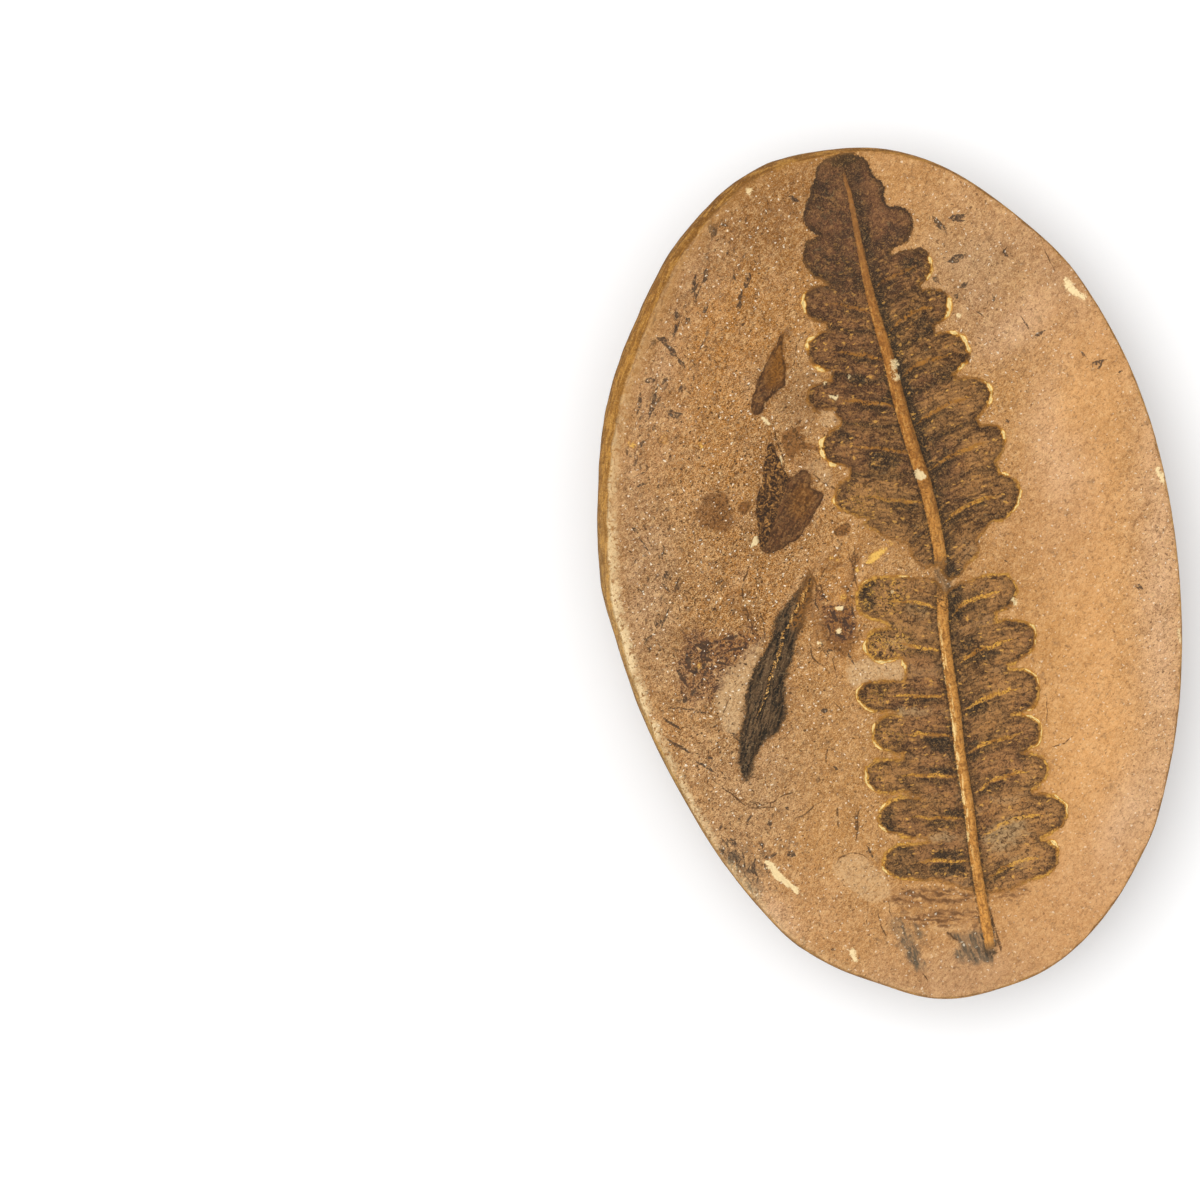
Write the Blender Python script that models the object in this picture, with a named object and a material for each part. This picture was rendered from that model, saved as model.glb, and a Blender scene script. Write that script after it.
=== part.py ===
"""Fossil fern plate: one half of a split ironstone nodule, with a fern frond on the split face.

Frame: metres, +Z up. +Z points out of the split face, +Y runs along the nodule's long axis towards
the frond's tip, and the origin lies under the middle of the plate, on the surface it rests on.
The nodule and its frond are one stone, so the whole part is one closed solid.
"""
import math

import bmesh
import bpy
import numpy as np
from mathutils import Vector
from mathutils.geometry import delaunay_2d_cdt

MM = 0.001

# Driving dimensions of the nodule half, in millimetres
LENGTH = 120.0              # long axis of the oval
WIDTH = 79.4                # short axis of the oval
THICKNESS = 17.0            # middle of the split face above the resting facet
FACET_SHARE = 0.45          # size of the flat resting facet, as a share of the oval
FACE_CROWN = 0.5            # how much lower the split face lies at its rim than in its middle
FACE_WAVES = 0.14           # height of the split face's gentle waves
SKIN_LUMPS = 0.35           # height of the low lumps on the nodule's skin

# Driving dimensions of the relief on the split face, in millimetres
RIB_HEIGHT = 0.65           # the frond's rib at its foot
RIB_PLACES = (0.0, 0.12, 0.2, 0.3, 0.4, 0.5, 0.62, 1.0)    # shares of the rib's length, from its tip
RIB_HALVES = (0.4, 0.45, 0.65, 0.85, 0.92, 0.85, 0.75, 0.7)    # half its width at those places
LEAFLET_RISE = 0.24         # leaflets above the bare stone
LEAFLET_EDGE = 0.45         # width of the step along a leaflet's margin
VEIN_RISE = 0.12            # a leaflet's midvein above the leaflet
VEIN_HALF_WIDTH = 0.45
BLUNTNESS = 2.4             # power of a leaflet's rounded tip: 2 is an ellipse, more is blunter

# Mesh sizes, in millimetres
RIM_STEPS = 96              # points round the rim
MARGIN_STEP = 1.0           # points along a margin
LEAFLET_STEP = 2.1          # points inside the frond
FIELD_STEP = 3.3            # points on the bare stone
CLEARANCE = 0.72            # least distance between a margin's points and the others

# The face is laid out on a plan grid: x to the right, y down, turned by PLAN_TURN from the frame
PLAN_MIDDLE = (893.6, 567.9)
PLAN_LONG_AXIS = 863.0      # grid steps in the nodule's long axis
PLAN_STEP = LENGTH / PLAN_LONG_AXIS
PLAN_TURN = math.radians(11.26)

# The outline departs a little from an oval: a three-lobed swell and a few bumps
LOBE_SHARE = 0.0146
LOBE_TURN = math.radians(98.7)
OUTLINE_BUMPS = (           # direction in degrees from +X, height and spread in degrees
    (49, 0.2, 6), (62, -0.45, 9), (88, -0.25, 5), (100, 0.35, 6), (124, -0.4, 9), (174, 0.3, 6),
    (214, -0.3, 14), (243, 0.4, 6), (257, -0.55, 5), (273, -0.4, 5), (304, 0.25, 4),
)

# The skin shows as a sloping band where the split missed the nodule's widest section
BAND_NARROW = 0.35          # width of the band on the side where it is thin
BAND_EXTRA = 2.1            # what is added to it on the other side
BAND_DROP = (1.2, 2.0)      # depth of the widest section below the face: thin side, and added
BAND_DIRECTION = 125.0      # middle of the wide stretch, in degrees from +X
BAND_SPREAD = (35.0, 60.0)  # in degrees, on the two sides of that direction

# The rib from the tip to the foot, on the plan grid
RIB = ((843, 152), (844, 177), (849, 195), (854, 221), (862, 262), (872, 306), (885, 350), (900, 408),
       (913, 451), (926, 492), (938, 548), (941, 585), (942, 622), (948, 670), (954, 708), (959, 752),
       (968, 808), (973, 851), (979, 888), (990, 950))

# Leaflets on the plan grid: tip x, tip y, width, and the y where the midvein leaves the rib
LEFT_LEAFLETS = (
    (802, 303, 40, 317), (806, 350, 42, 364), (807, 398, 38, 411), (821, 446, 44, 457),
    (833, 497, 43, 506), (856, 597, 48, 610), (863, 645, 36, 650), (857, 695, 36, 696),
    (871, 733, 38, 738), (865, 775, 38, 778), (878, 816, 40, 820), (883, 861, 38, 859),
)
RIGHT_LEAFLETS = (
    (932, 264, 38, 298), (949, 304, 40, 341), (968, 351, 44, 385), (990, 395, 44, 434),
    (1004, 441, 42, 480), (1019, 492, 50, 532), (1017, 588, 38, 625), (1035, 637, 44, 672),
    (1039, 687, 46, 717), (1040, 730, 42, 760), (1047, 769, 43, 798), (1065, 811, 45, 844),
    (1058, 854, 42, 884),
)

# Outlines drawn point by point on the plan grid
FROND_TIP = (
    (844, 152), (833, 156), (822, 163), (815, 175), (812, 193), (806, 205), (803, 216), (807, 228),
    (813, 237), (805, 244), (802, 256), (806, 269), (814, 277), (828, 284), (868, 316), (884, 290),
    (890, 252), (897, 246), (909, 239), (914, 226), (908, 214), (896, 207), (886, 204), (887, 190),
    (882, 181), (874, 177), (871, 168), (863, 159), (855, 155),
)
TORN_LEAFLETS = (           # what is left of the leaflets above the gap in the frond
    ((900, 492), (866, 521), (869, 528), (889, 538), (906, 546), (911, 557), (922, 569), (937, 567),
     (945, 580), (960, 577), (967, 565), (977, 555), (977, 540), (984, 531), (990, 505)),
)
FROND_WEBS = (              # where the leaflets run together along the rib
    ((829, 284), (826, 327), (830, 373), (839, 425), (849, 472), (867, 520), (990, 505), (996, 465),
     (977, 419), (952, 373), (933, 327), (918, 282), (890, 254)),
    ((884, 608), (884, 622), (904, 662), (905, 682), (902, 712), (902, 757), (918, 796), (927, 840),
     (932, 877), (976, 890), (1004, 884), (1034, 874), (1040, 836), (1034, 792), (1022, 750),
     (1010, 711), (1008, 665), (996, 624), (992, 600), (946, 601)),
)
FLAKED_PATCHES = (          # where a flake took the frond's film away
    ((850, 661), (902, 660), (905, 671), (903, 681), (884, 680), (850, 684)),
    ((818, 412), (833, 410), (838, 424), (822, 426)),
)
LEAF_SCRAPS = (             # pieces of other leaves, raised a little
    ((786, 333), (783, 352), (786, 372), (784, 385), (772, 395), (764, 402), (761, 414), (753, 415),
     (752, 400), (761, 371), (770, 357)),
    ((773, 444), (780, 466), (785, 478), (803, 471), (810, 478), (811, 488), (823, 495), (817, 510),
     (798, 537), (776, 552), (762, 550), (756, 520), (761, 485), (767, 460)),
)
LOOSE_STEM = ((777, 616), (773, 634), (768, 646), (758, 662), (751, 676), (746, 696), (744, 716),
              (740, 742), (741, 766), (747, 780), (750, 776), (754, 762), (760, 750), (768, 736),
              (778, 727), (784, 710), (784, 694), (785, 678), (789, 662), (795, 646), (800, 627),
              (803, 610), (808, 594), (811, 578), (806, 577), (798, 594), (788, 604))
SCAR = ((765, 859), (775, 866), (787, 874), (803, 892), (799, 896), (784, 884), (770, 872))
SCRAP_RISE = 0.2
STEM_RISE = 0.45
SCAR_DEPTH = 0.25
HOLLOW = ((800, 440), 62.0, 0.3)    # shallow hollow beside the frond: middle, reach in steps, depth


def plan_points(points):
    """Turns points of the plan grid into millimetres in the part's frame."""
    offset = np.array(points, float) - PLAN_MIDDLE
    right = offset[:, 0] * PLAN_STEP
    up = -offset[:, 1] * PLAN_STEP
    cosine, sine = math.cos(PLAN_TURN), math.sin(PLAN_TURN)
    return np.stack([cosine * right + sine * up, cosine * up - sine * right], axis=1)


def smooth_step(value):
    """Rises from 0 to 1, with no corner at either end."""
    share = np.clip(value, 0.0, 1.0)
    return share * share * (3.0 - 2.0 * share)


def turned(angle, degrees):
    """The signed turn in degrees from a direction to an angle in radians."""
    return (np.degrees(angle) - degrees + 180.0) % 360.0 - 180.0


def rim_radius(angle):
    """How far the widest section reaches in a direction, in millimetres."""
    oval = 1.0 / np.hypot(np.cos(angle) / (WIDTH / 2), np.sin(angle) / (LENGTH / 2))
    radius = oval * (1.0 - LOBE_SHARE * np.cos(3.0 * (angle - LOBE_TURN)))
    for degrees, height, spread in OUTLINE_BUMPS:
        radius = radius + height * np.exp(-(turned(angle, degrees) / spread) ** 2)
    return radius


def band_share(angle):
    """0 where the skin's band is narrow, 1 where it is widest."""
    turn = turned(angle, BAND_DIRECTION)
    spread = np.where(turn < 0, BAND_SPREAD[0], BAND_SPREAD[1])
    return np.exp(-(turn / spread) ** 2)


def distance_to_line(points, line, closed):
    """Distance from each point to a line of points, and how far along the line that is."""
    starts = line if closed else line[:-1]
    ends = np.roll(line, -1, axis=0) if closed else line[1:]
    nearest = np.full(len(points), np.inf)
    along = np.zeros(len(points))
    travelled = 0.0
    for start, end in zip(starts, ends):
        run = end - start
        length = np.hypot(run[0], run[1])
        share = np.clip(((points - start) @ run) / length ** 2, 0.0, 1.0)
        gap = points - start - share[:, None] * run
        distance = np.hypot(gap[:, 0], gap[:, 1])
        closer = distance < nearest
        nearest = np.where(closer, distance, nearest)
        along = np.where(closer, travelled + share * length, along)
        travelled += length
    return nearest, along / travelled


def is_inside(points, outline):
    """True for each point that a closed outline goes round."""
    inside = np.zeros(len(points), bool)
    for (x0, y0), (x1, y1) in zip(outline, np.roll(outline, -1, axis=0)):
        if y0 == y1:
            continue
        level = (points[:, 1] > y0) != (points[:, 1] > y1)
        crossing = x0 + (points[:, 1] - y0) / (y1 - y0) * (x1 - x0)
        inside ^= level & (points[:, 0] < crossing)
    return inside


def depth_inside(points, outline):
    """Distance to an outline, positive inside it and negative outside."""
    distance, _ = distance_to_line(points, outline, closed=True)
    return np.where(is_inside(points, outline), distance, -distance)


def smooth_curve(points, pieces):
    """A Catmull-Rom curve through the points, with so many pieces to each stretch."""
    padded = np.vstack([2 * points[0] - points[1], points, 2 * points[-1] - points[-2]])
    curve = []
    for a, b, c, d in zip(padded[:-3], padded[1:-2], padded[2:-1], padded[3:]):
        for share in np.arange(pieces) / pieces:
            bend = (2 * a - 5 * b + 4 * c - d) * share ** 2 + (3 * b - a - 3 * c + d) * share ** 3
            curve.append(b + 0.5 * ((c - a) * share + bend))
    curve.append(points[-1])
    return np.array(curve)


def leaflet_vein(leaflet):
    """The midvein of one leaflet: it leaves the rib steeply and levels out towards the tip."""
    tip_x, tip_y, _, base_y = leaflet
    base_x = np.interp(base_y, [y for _, y in RIB], [x for x, _ in RIB])
    bend_x = base_x + 0.3 * (tip_x - base_x)
    bend_y = tip_y + 0.15 * (base_y - tip_y)
    share = np.linspace(0.0, 1.0, 12)[:, None]
    base, bend, tip = plan_points([(base_x, base_y), (bend_x, bend_y), (tip_x, tip_y)])
    return (1 - share) ** 2 * base + 2 * share * (1 - share) * bend + share ** 2 * tip


def leaflet_outline(leaflet):
    """A blunt tongue round the midvein, narrower where the web along the rib takes over."""
    vein = leaflet_vein(leaflet)
    half = leaflet[2] * PLAN_STEP / 2
    tip = 1.3 * half / np.hypot(*(vein[-1] - vein[0]))
    turn = np.sin(np.linspace(0, math.pi / 2, 9)) ** (2 / BLUNTNESS)
    share = np.concatenate([np.linspace(0.0, 1 - tip, 6, endpoint=False), 1 - tip + tip * turn])
    steps = np.linspace(0.0, 1.0, len(vein))
    middle = np.stack([np.interp(share, steps, vein[:, 0]), np.interp(share, steps, vein[:, 1])], axis=1)
    run = np.gradient(middle, axis=0)
    side = np.stack([-run[:, 1], run[:, 0]], axis=1) / np.hypot(run[:, 0], run[:, 1])[:, None]
    foot = 0.6 + 0.55 * smooth_step(share / 0.3) - 0.15 * smooth_step((share - 0.35) / 0.3)
    rounding = np.clip((share - 1) / tip + 1, 0.0, 1.0)
    reach = half * foot * (1.0 - rounding ** BLUNTNESS) ** (1 / BLUNTNESS)
    left = middle + side * reach[:, None]
    right = middle - side * reach[:, None]
    return np.vstack([left, right[-2::-1]])


def frond_outlines():
    """Every outline that the frond's film is the sum of."""
    leaflets = [leaflet_outline(leaflet) for leaflet in LEFT_LEAFLETS + RIGHT_LEAFLETS]
    return leaflets + [plan_points(outline) for outline in (FROND_TIP,) + TORN_LEAFLETS + FROND_WEBS]


class Relief:
    """The heights of the split face, worked out once from the outlines above."""

    def __init__(self):
        self.rib = smooth_curve(plan_points(RIB), 4)
        self.frond = frond_outlines()
        self.flaked = [plan_points(patch) for patch in FLAKED_PATCHES]
        self.veins = [leaflet_vein(leaflet)[2:-2] for leaflet in LEFT_LEAFLETS + RIGHT_LEAFLETS]
        self.scraps = [plan_points(scrap) for scrap in LEAF_SCRAPS]
        self.stem = plan_points(LOOSE_STEM)
        self.scar = plan_points(SCAR)

    def film_depth(self, points):
        """How deep each point lies inside the frond's film; negative off it."""
        film = np.max([depth_inside(points, outline) for outline in self.frond], axis=0)
        for patch in self.flaked:
            film = np.minimum(film, -depth_inside(points, patch))
        return film

    def rib_shape(self, points):
        """The rib's rounded height over the leaflets; it fades out at both ends of the gap."""
        distance, along = distance_to_line(points, self.rib, closed=False)
        half = np.interp(along, RIB_PLACES, RIB_HALVES)
        height = np.interp(along, [0.0, 0.12, 0.45, 0.5, 0.53, 0.56, 0.95, 1.0],
                           [0.25, 0.6, 0.9, 0.3, 0.1, 0.8, 1.0, 0.2])
        return RIB_HEIGHT * height * np.sqrt(np.clip(1 - (distance / half) ** 2, 0, 1))

    def height(self, points):
        """The split face's height over the resting facet, in millimetres."""
        x, y = points[:, 0], points[:, 1]
        share = np.hypot(x, y) / rim_radius(np.arctan2(y, x))
        level = THICKNESS - FACE_CROWN * share ** 2
        level += FACE_WAVES * (np.sin(x / 9.0 + 0.6) * np.sin(y / 13.0 - 0.4) + 0.6 * np.sin((x - y) / 7.0))
        middle, reach, depth = HOLLOW
        level -= depth * np.exp(-(np.hypot(*(points - plan_points([middle])).T) / (reach * PLAN_STEP)) ** 2)
        level += LEAFLET_RISE * smooth_step(self.film_depth(points) / LEAFLET_EDGE)
        vein = np.min([distance_to_line(points, line, False)[0] for line in self.veins], axis=0)
        level += VEIN_RISE * smooth_step(1 - vein / VEIN_HALF_WIDTH)
        level += self.rib_shape(points)
        for scrap in self.scraps:
            level += SCRAP_RISE * smooth_step(depth_inside(points, scrap) / LEAFLET_EDGE)
        level += STEM_RISE * smooth_step(depth_inside(points, self.stem) / (3 * LEAFLET_EDGE))
        level -= SCAR_DEPTH * smooth_step(depth_inside(points, self.scar) / LEAFLET_EDGE)
        return level


def even_points(line, step, closed):
    """Points spaced evenly along a line, about one step apart."""
    if closed:
        line = np.vstack([line, line[:1]])
    lengths = np.hypot(*np.diff(line, axis=0).T)
    total = np.concatenate([[0.0], np.cumsum(lengths)])
    count = max(3, round(total[-1] / step))
    places = np.linspace(0.0, total[-1], count, endpoint=not closed)
    return np.stack([np.interp(places, total, line[:, 0]), np.interp(places, total, line[:, 1])], axis=1)


def inner_row(outline, distance):
    """The outline's points moved inwards."""
    run = np.roll(outline, -1, axis=0) - np.roll(outline, 1, axis=0)
    side = np.stack([-run[:, 1], run[:, 0]], axis=1) / np.hypot(run[:, 0], run[:, 1])[:, None]
    probe = outline + 0.05 * side
    inwards = np.where(is_inside(probe, outline), 1.0, -1.0)
    return outline + side * (inwards * distance)[:, None]


def hexagon_points(step):
    """A honeycomb of points that covers the plate."""
    columns = int(WIDTH / step) + 2
    rows = int(LENGTH / (step * 0.866)) + 2
    points = []
    for row in range(rows):
        for column in range(columns):
            x = (column + 0.5 * (row % 2) - columns / 2) * step
            points.append((x, (row - rows / 2) * step * 0.866))
    return np.array(points)


def keep_clear(points, others, distance):
    """The points that lie no closer to the others than the distance."""
    kept = [point for point in points if np.min(np.hypot(*(others - point).T)) > distance]
    return np.array(kept).reshape(-1, 2)


def thin_out(points, distance):
    """Drops each point that lies too close to one before it."""
    kept = points[:1]
    for point in points[1:]:
        if np.min(np.hypot(*(kept - point).T)) > distance:
            kept = np.vstack([kept, point])
    return kept


def margin_points(relief):
    """Two rows of points along each visible margin: on it, and at the top of its step."""
    rows = []
    for outline in relief.frond:
        margin = even_points(outline, MARGIN_STEP, closed=True)
        on_margin = np.abs(relief.film_depth(margin)) < 0.05
        rows.append(margin[on_margin])
        rows.append(inner_row(margin, LEAFLET_EDGE)[on_margin])
    for outline in relief.scraps + relief.flaked + [relief.stem, relief.scar]:
        margin = even_points(outline, MARGIN_STEP, closed=True)
        rows.append(margin)
        rows.append(inner_row(margin, LEAFLET_EDGE))
    return np.vstack(rows)


def rib_points(relief):
    """Three rows of points along the rib: its crest and its two feet."""
    crest = even_points(relief.rib, 1.6, closed=False)
    run = np.gradient(crest, axis=0)
    side = np.stack([-run[:, 1], run[:, 0]], axis=1) / np.hypot(run[:, 0], run[:, 1])[:, None]
    half = np.interp(np.linspace(0.0, 1.0, len(crest)), RIB_PLACES, RIB_HALVES)[:, None]
    return np.vstack([crest, crest + side * half, crest - side * half])


def face_points(relief, rim):
    """All the points of the split face, inside its rim."""
    points = thin_out(rib_points(relief), 0.4)
    margins = thin_out(margin_points(relief), 0.4)
    points = np.vstack([points, keep_clear(margins, points, 0.65)])
    veins = np.vstack([even_points(line, 1.8, closed=False) for line in relief.veins])
    points = np.vstack([points, keep_clear(veins, points, CLEARANCE)])
    fine = hexagon_points(LEAFLET_STEP)
    fine = keep_clear(fine[relief.film_depth(fine) > -LEAFLET_STEP], points, CLEARANCE)
    points = np.vstack([points, fine])
    coarse = keep_clear(hexagon_points(FIELD_STEP), points, 0.75 * FIELD_STEP)
    points = np.vstack([points, coarse])
    return points[depth_inside(points, rim) > 1.2]


def ring_angles():
    """The directions of the points round the rim."""
    return np.linspace(0.0, 2 * math.pi, RIM_STEPS, endpoint=False)


def skin_rings(relief):
    """Rings of points down the nodule's skin, from the face's rim to the resting facet."""
    angles = ring_angles()
    radius = rim_radius(angles)
    share = band_share(angles)
    heading = np.stack([np.cos(angles), np.sin(angles)], axis=1)
    edge = heading * (radius - BAND_NARROW - BAND_EXTRA * share)[:, None]
    edge_height = relief.height(edge)
    widest_height = edge_height - BAND_DROP[0] - BAND_DROP[1] * share
    rings = [np.column_stack([edge, edge_height])]
    for part in (0.35, 0.7):
        curve = math.sin(part * math.pi / 2)
        reach = heading * (radius - (BAND_NARROW + BAND_EXTRA * share) * (1 - curve))[:, None]
        drop = part ** 1.5
        rings.append(np.column_stack([reach, edge_height * (1 - drop) + widest_height * drop]))
    last = math.acos(FACET_SHARE)
    for turn in np.linspace(0.0, last, 9):
        reach = radius * math.cos(turn)
        fade = math.sin(math.pi * turn / last)
        lumps = np.sin(3 * angles + 1.0 + 2 * turn) + np.sin(5 * angles - 4 * turn)
        reach = reach + SKIN_LUMPS * fade * lumps
        height = widest_height * (1 - math.sin(turn) / math.sin(last))
        rings.append(np.column_stack([heading * reach[:, None], height]))
    return rings


def face_mesh(relief, rim):
    """Triangulates the split face and gives its points, rim first, and its triangles."""
    rim_edges = [(i, (i + 1) % len(rim)) for i in range(len(rim))]
    points = np.vstack([rim, face_points(relief, rim)])
    flat = [Vector(point) for point in points]
    done, _, triangles, _, _, _ = delaunay_2d_cdt(flat, rim_edges, [list(range(len(rim)))], 1, 1e-5)
    plan = np.array([tuple(point) for point in done])
    return np.column_stack([plan, relief.height(plan)]), triangles


def build_nodule():
    """Builds the closed stone: the split face, the skin and the flat resting facet."""
    relief = Relief()
    rings = skin_rings(relief)
    face, triangles = face_mesh(relief, rings[0][:, :2])
    lowest = np.vstack(rings).min(axis=0)
    highest = np.vstack(rings).max(axis=0)
    shift = Vector(((lowest[0] + highest[0]) / 2, (lowest[1] + highest[1]) / 2, 0.0))
    shape = bmesh.new()

    def add(point):
        return shape.verts.new((Vector(point) - shift) * MM)

    top = [add(point) for point in face]
    for triangle in triangles:
        shape.faces.new([top[corner] for corner in triangle])
    above = top[:RIM_STEPS]
    for ring in rings[1:]:
        below = [add(point) for point in ring]
        for i in range(RIM_STEPS):
            j = (i + 1) % RIM_STEPS
            shape.faces.new((above[i], below[i], below[j], above[j]))
        above = below
    facet = shape.faces.new(above[::-1])
    bmesh.ops.recalc_face_normals(shape, faces=shape.faces)
    bmesh.ops.triangulate(shape, faces=[face for face in shape.faces if face is not facet])
    return shape


def stone_material():
    """Sandy brown ironstone: matt, and no metal."""
    material = bpy.data.materials.new("ironstone")
    material.use_nodes = True
    shader = material.node_tree.nodes["Principled BSDF"]
    shader.inputs["Base Color"].default_value = (0.52, 0.31, 0.14, 1.0)
    shader.inputs["Roughness"].default_value = 0.85
    shader.inputs["Metallic"].default_value = 0.0
    return material


def main():
    for old in list(bpy.data.objects):
        bpy.data.objects.remove(old)
    shape = build_nodule()
    mesh = bpy.data.meshes.new("fern_nodule_half")
    shape.to_mesh(mesh)
    shape.free()
    mesh.shade_smooth()
    mesh.set_sharp_from_angle(angle=math.radians(35))
    mesh.materials.append(stone_material())
    nodule = bpy.data.objects.new("fern_nodule_half", mesh)
    bpy.context.scene.collection.objects.link(nodule)


main()
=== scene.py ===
# %% [markdown]
# # A fossil fern plate
# The object is one half of an ironstone nodule that was split with a hammer. Its flat face carries
# the frond of a seed fern as a thin brown film. This lesson dresses a plain solid of that stone: it
# builds one fine mesh in its place, stores on each vertex how far it lies from every mark on the
# face, and lets the shader draw crisp edges from those distances.

# %% Load the fixed model
import math

import bpy
import numpy as np
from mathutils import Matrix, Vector, noise
from mathutils.geometry import delaunay_2d_cdt


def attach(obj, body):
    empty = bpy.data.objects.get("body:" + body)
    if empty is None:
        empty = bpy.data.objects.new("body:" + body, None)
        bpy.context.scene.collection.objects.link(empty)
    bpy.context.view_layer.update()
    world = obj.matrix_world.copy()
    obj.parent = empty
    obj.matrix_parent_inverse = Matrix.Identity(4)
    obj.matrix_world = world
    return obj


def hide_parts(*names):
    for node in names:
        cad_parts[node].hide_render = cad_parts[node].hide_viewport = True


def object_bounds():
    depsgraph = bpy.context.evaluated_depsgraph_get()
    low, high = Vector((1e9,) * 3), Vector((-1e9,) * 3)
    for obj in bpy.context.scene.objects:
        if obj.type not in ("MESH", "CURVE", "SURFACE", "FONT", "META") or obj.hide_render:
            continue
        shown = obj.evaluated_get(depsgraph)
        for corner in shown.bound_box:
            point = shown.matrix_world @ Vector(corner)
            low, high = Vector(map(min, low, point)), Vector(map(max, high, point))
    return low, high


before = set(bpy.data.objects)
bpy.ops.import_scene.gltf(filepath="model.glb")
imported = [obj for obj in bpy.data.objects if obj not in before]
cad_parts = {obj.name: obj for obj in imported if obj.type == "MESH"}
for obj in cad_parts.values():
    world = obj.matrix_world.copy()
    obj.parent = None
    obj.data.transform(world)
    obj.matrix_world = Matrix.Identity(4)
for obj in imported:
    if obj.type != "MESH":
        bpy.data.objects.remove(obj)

MM = 0.001
cad_box = [list(corner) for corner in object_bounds()]
print("solid model, mm:", [[round(value / MM, 1) for value in corner] for corner in cad_box])

# %% [markdown]
# ## The plan grid
# Every mark on the face was read off one plan grid with x to the right and y down. The grid is
# turned by 11 degrees against the stone's long axis. One function turns grid places, written as x
# and y in turn, into millimetres. So a place is written once and used by shape and colours alike.

# %% Plan grid
LENGTH = 120.0
WIDTH = 79.4
THICKNESS = 17.0
PLAN_SPAN = 1200.0
PLAN_MIDDLE = (893.6, 567.9)
PLAN_STEP = LENGTH / 863.0
PLAN_TURN = math.radians(11.26)


def plan_points(points):
    """Turns points of the plan grid into millimetres in the stone's frame."""
    offset = np.array(points, float).reshape(-1, 2) - PLAN_MIDDLE
    right = offset[:, 0] * PLAN_STEP
    up = -offset[:, 1] * PLAN_STEP
    cosine, sine = math.cos(PLAN_TURN), math.sin(PLAN_TURN)
    return np.stack([cosine * right + sine * up, cosine * up - sine * right], axis=1)


print("one grid step is", round(PLAN_STEP, 4), "mm")

# %% [markdown]
# ## Camera, floor and light
# A plate like this is shown from straight above its face. A long lens keeps the oval free of
# perspective. The light is a pale sky all round, with one large soft lamp low enough on the left to
# give the rib and the flake edges a little shade.

# %% Camera


def add_object(name, data):
    """Puts a new object into the scene."""
    made = bpy.data.objects.new(name, data)
    bpy.context.scene.collection.objects.link(made)
    return made


LENS = 120.0
SENSOR = 36.0
AIM_HEIGHT = 15.5       # millimetres; between the face and the widest section
view_height = PLAN_SPAN * PLAN_STEP * MM * LENS / SENSOR
view_x, view_y = plan_points([(PLAN_SPAN / 2, PLAN_SPAN / 2)])[0] * MM
camera_data = bpy.data.cameras.new("camera")
camera_data.lens = LENS
camera_data.sensor_width = SENSOR
camera = add_object("camera", camera_data)
camera.location = (view_x, view_y, AIM_HEIGHT * MM + view_height)
camera.rotation_euler = (0.0, 0.0, -PLAN_TURN)
bpy.context.scene.camera = camera
print("camera height, m:", round(camera.location.z, 3))

# %% Floor and lights
SKY_STRENGTH = 0.94
LAMP_POWER = 50.0
LAMP_PLACE = (-1.1, 0.5, 3.0)
LAMP_SIZE = 2.8
FLOOR_HALF = 3.0        # metres
PAPER_WHITE = 0.93

floor_mesh = bpy.data.meshes.new("floor")
floor_corners = [(x * FLOOR_HALF, y * FLOOR_HALF, 0) for x, y in ((-1, -1), (1, -1), (1, 1), (-1, 1))]
floor_mesh.from_pydata(floor_corners, [], [(0, 1, 2, 3)])
floor = add_object("floor", floor_mesh)
paper = bpy.data.materials.new("white_paper")
paper.use_nodes = True
paper_inputs = paper.node_tree.nodes["Principled BSDF"].inputs
paper_inputs["Base Color"].default_value = (PAPER_WHITE, PAPER_WHITE, PAPER_WHITE, 1.0)
paper_inputs["Roughness"].default_value = 0.9
floor_mesh.materials.append(paper)

lamp_data = bpy.data.lights.new("soft_lamp", "AREA")
lamp_data.energy = LAMP_POWER
lamp_data.size = LAMP_SIZE
lamp = add_object("soft_lamp", lamp_data)
lamp.location = LAMP_PLACE
lamp.rotation_euler = (-Vector(LAMP_PLACE)).to_track_quat("-Z", "Y").to_euler()

world = bpy.data.worlds.new("pale_sky")
world.use_nodes = True
sky_inputs = world.node_tree.nodes["Background"].inputs
sky_inputs["Color"].default_value = (1.0, 1.0, 1.0, 1.0)
sky_inputs["Strength"].default_value = SKY_STRENGTH
bpy.context.scene.world = world
bpy.context.scene.view_settings.view_transform = "Standard"
print("lamp", LAMP_POWER, "W, sky", SKY_STRENGTH)

# %% [markdown]
# ## The nodule's outline
# A nodule grows as a flattened oval. Here it is an ellipse with a slight three-lobed swell and a
# few bumps, each with its direction, height and spread. On one side the split missed the widest
# section, so a band of the rusty skin slopes outwards below the face.

# %% Outline
LOBE_SHARE = 0.0146
LOBE_TURN = math.radians(98.7)
OUTLINE_BUMPS = (
    (49, 0.2, 6), (62, -0.45, 9), (88, -0.25, 5), (100, 0.35, 6), (124, -0.4, 9), (174, 0.3, 6),
    (214, -0.3, 14), (243, 0.4, 6), (257, -0.55, 5), (273, -0.4, 5), (304, 0.25, 4),
)
BAND_NARROW = 0.35
BAND_EXTRA = 2.1
BAND_DROP = (1.2, 2.0)
BAND_DIRECTION = 125.0
BAND_SPREAD = (35.0, 60.0)
PALE_RIM = (186.0, 46.0)        # where the face is pale along its edge: direction and spread


def angle_of(points):
    """The direction of each point from the middle, in radians."""
    return np.arctan2(points[:, 1], points[:, 0])


def turned(angle, degrees):
    """The signed turn in degrees from a direction to an angle in radians."""
    return (np.degrees(angle) - degrees + 180.0) % 360.0 - 180.0


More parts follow.
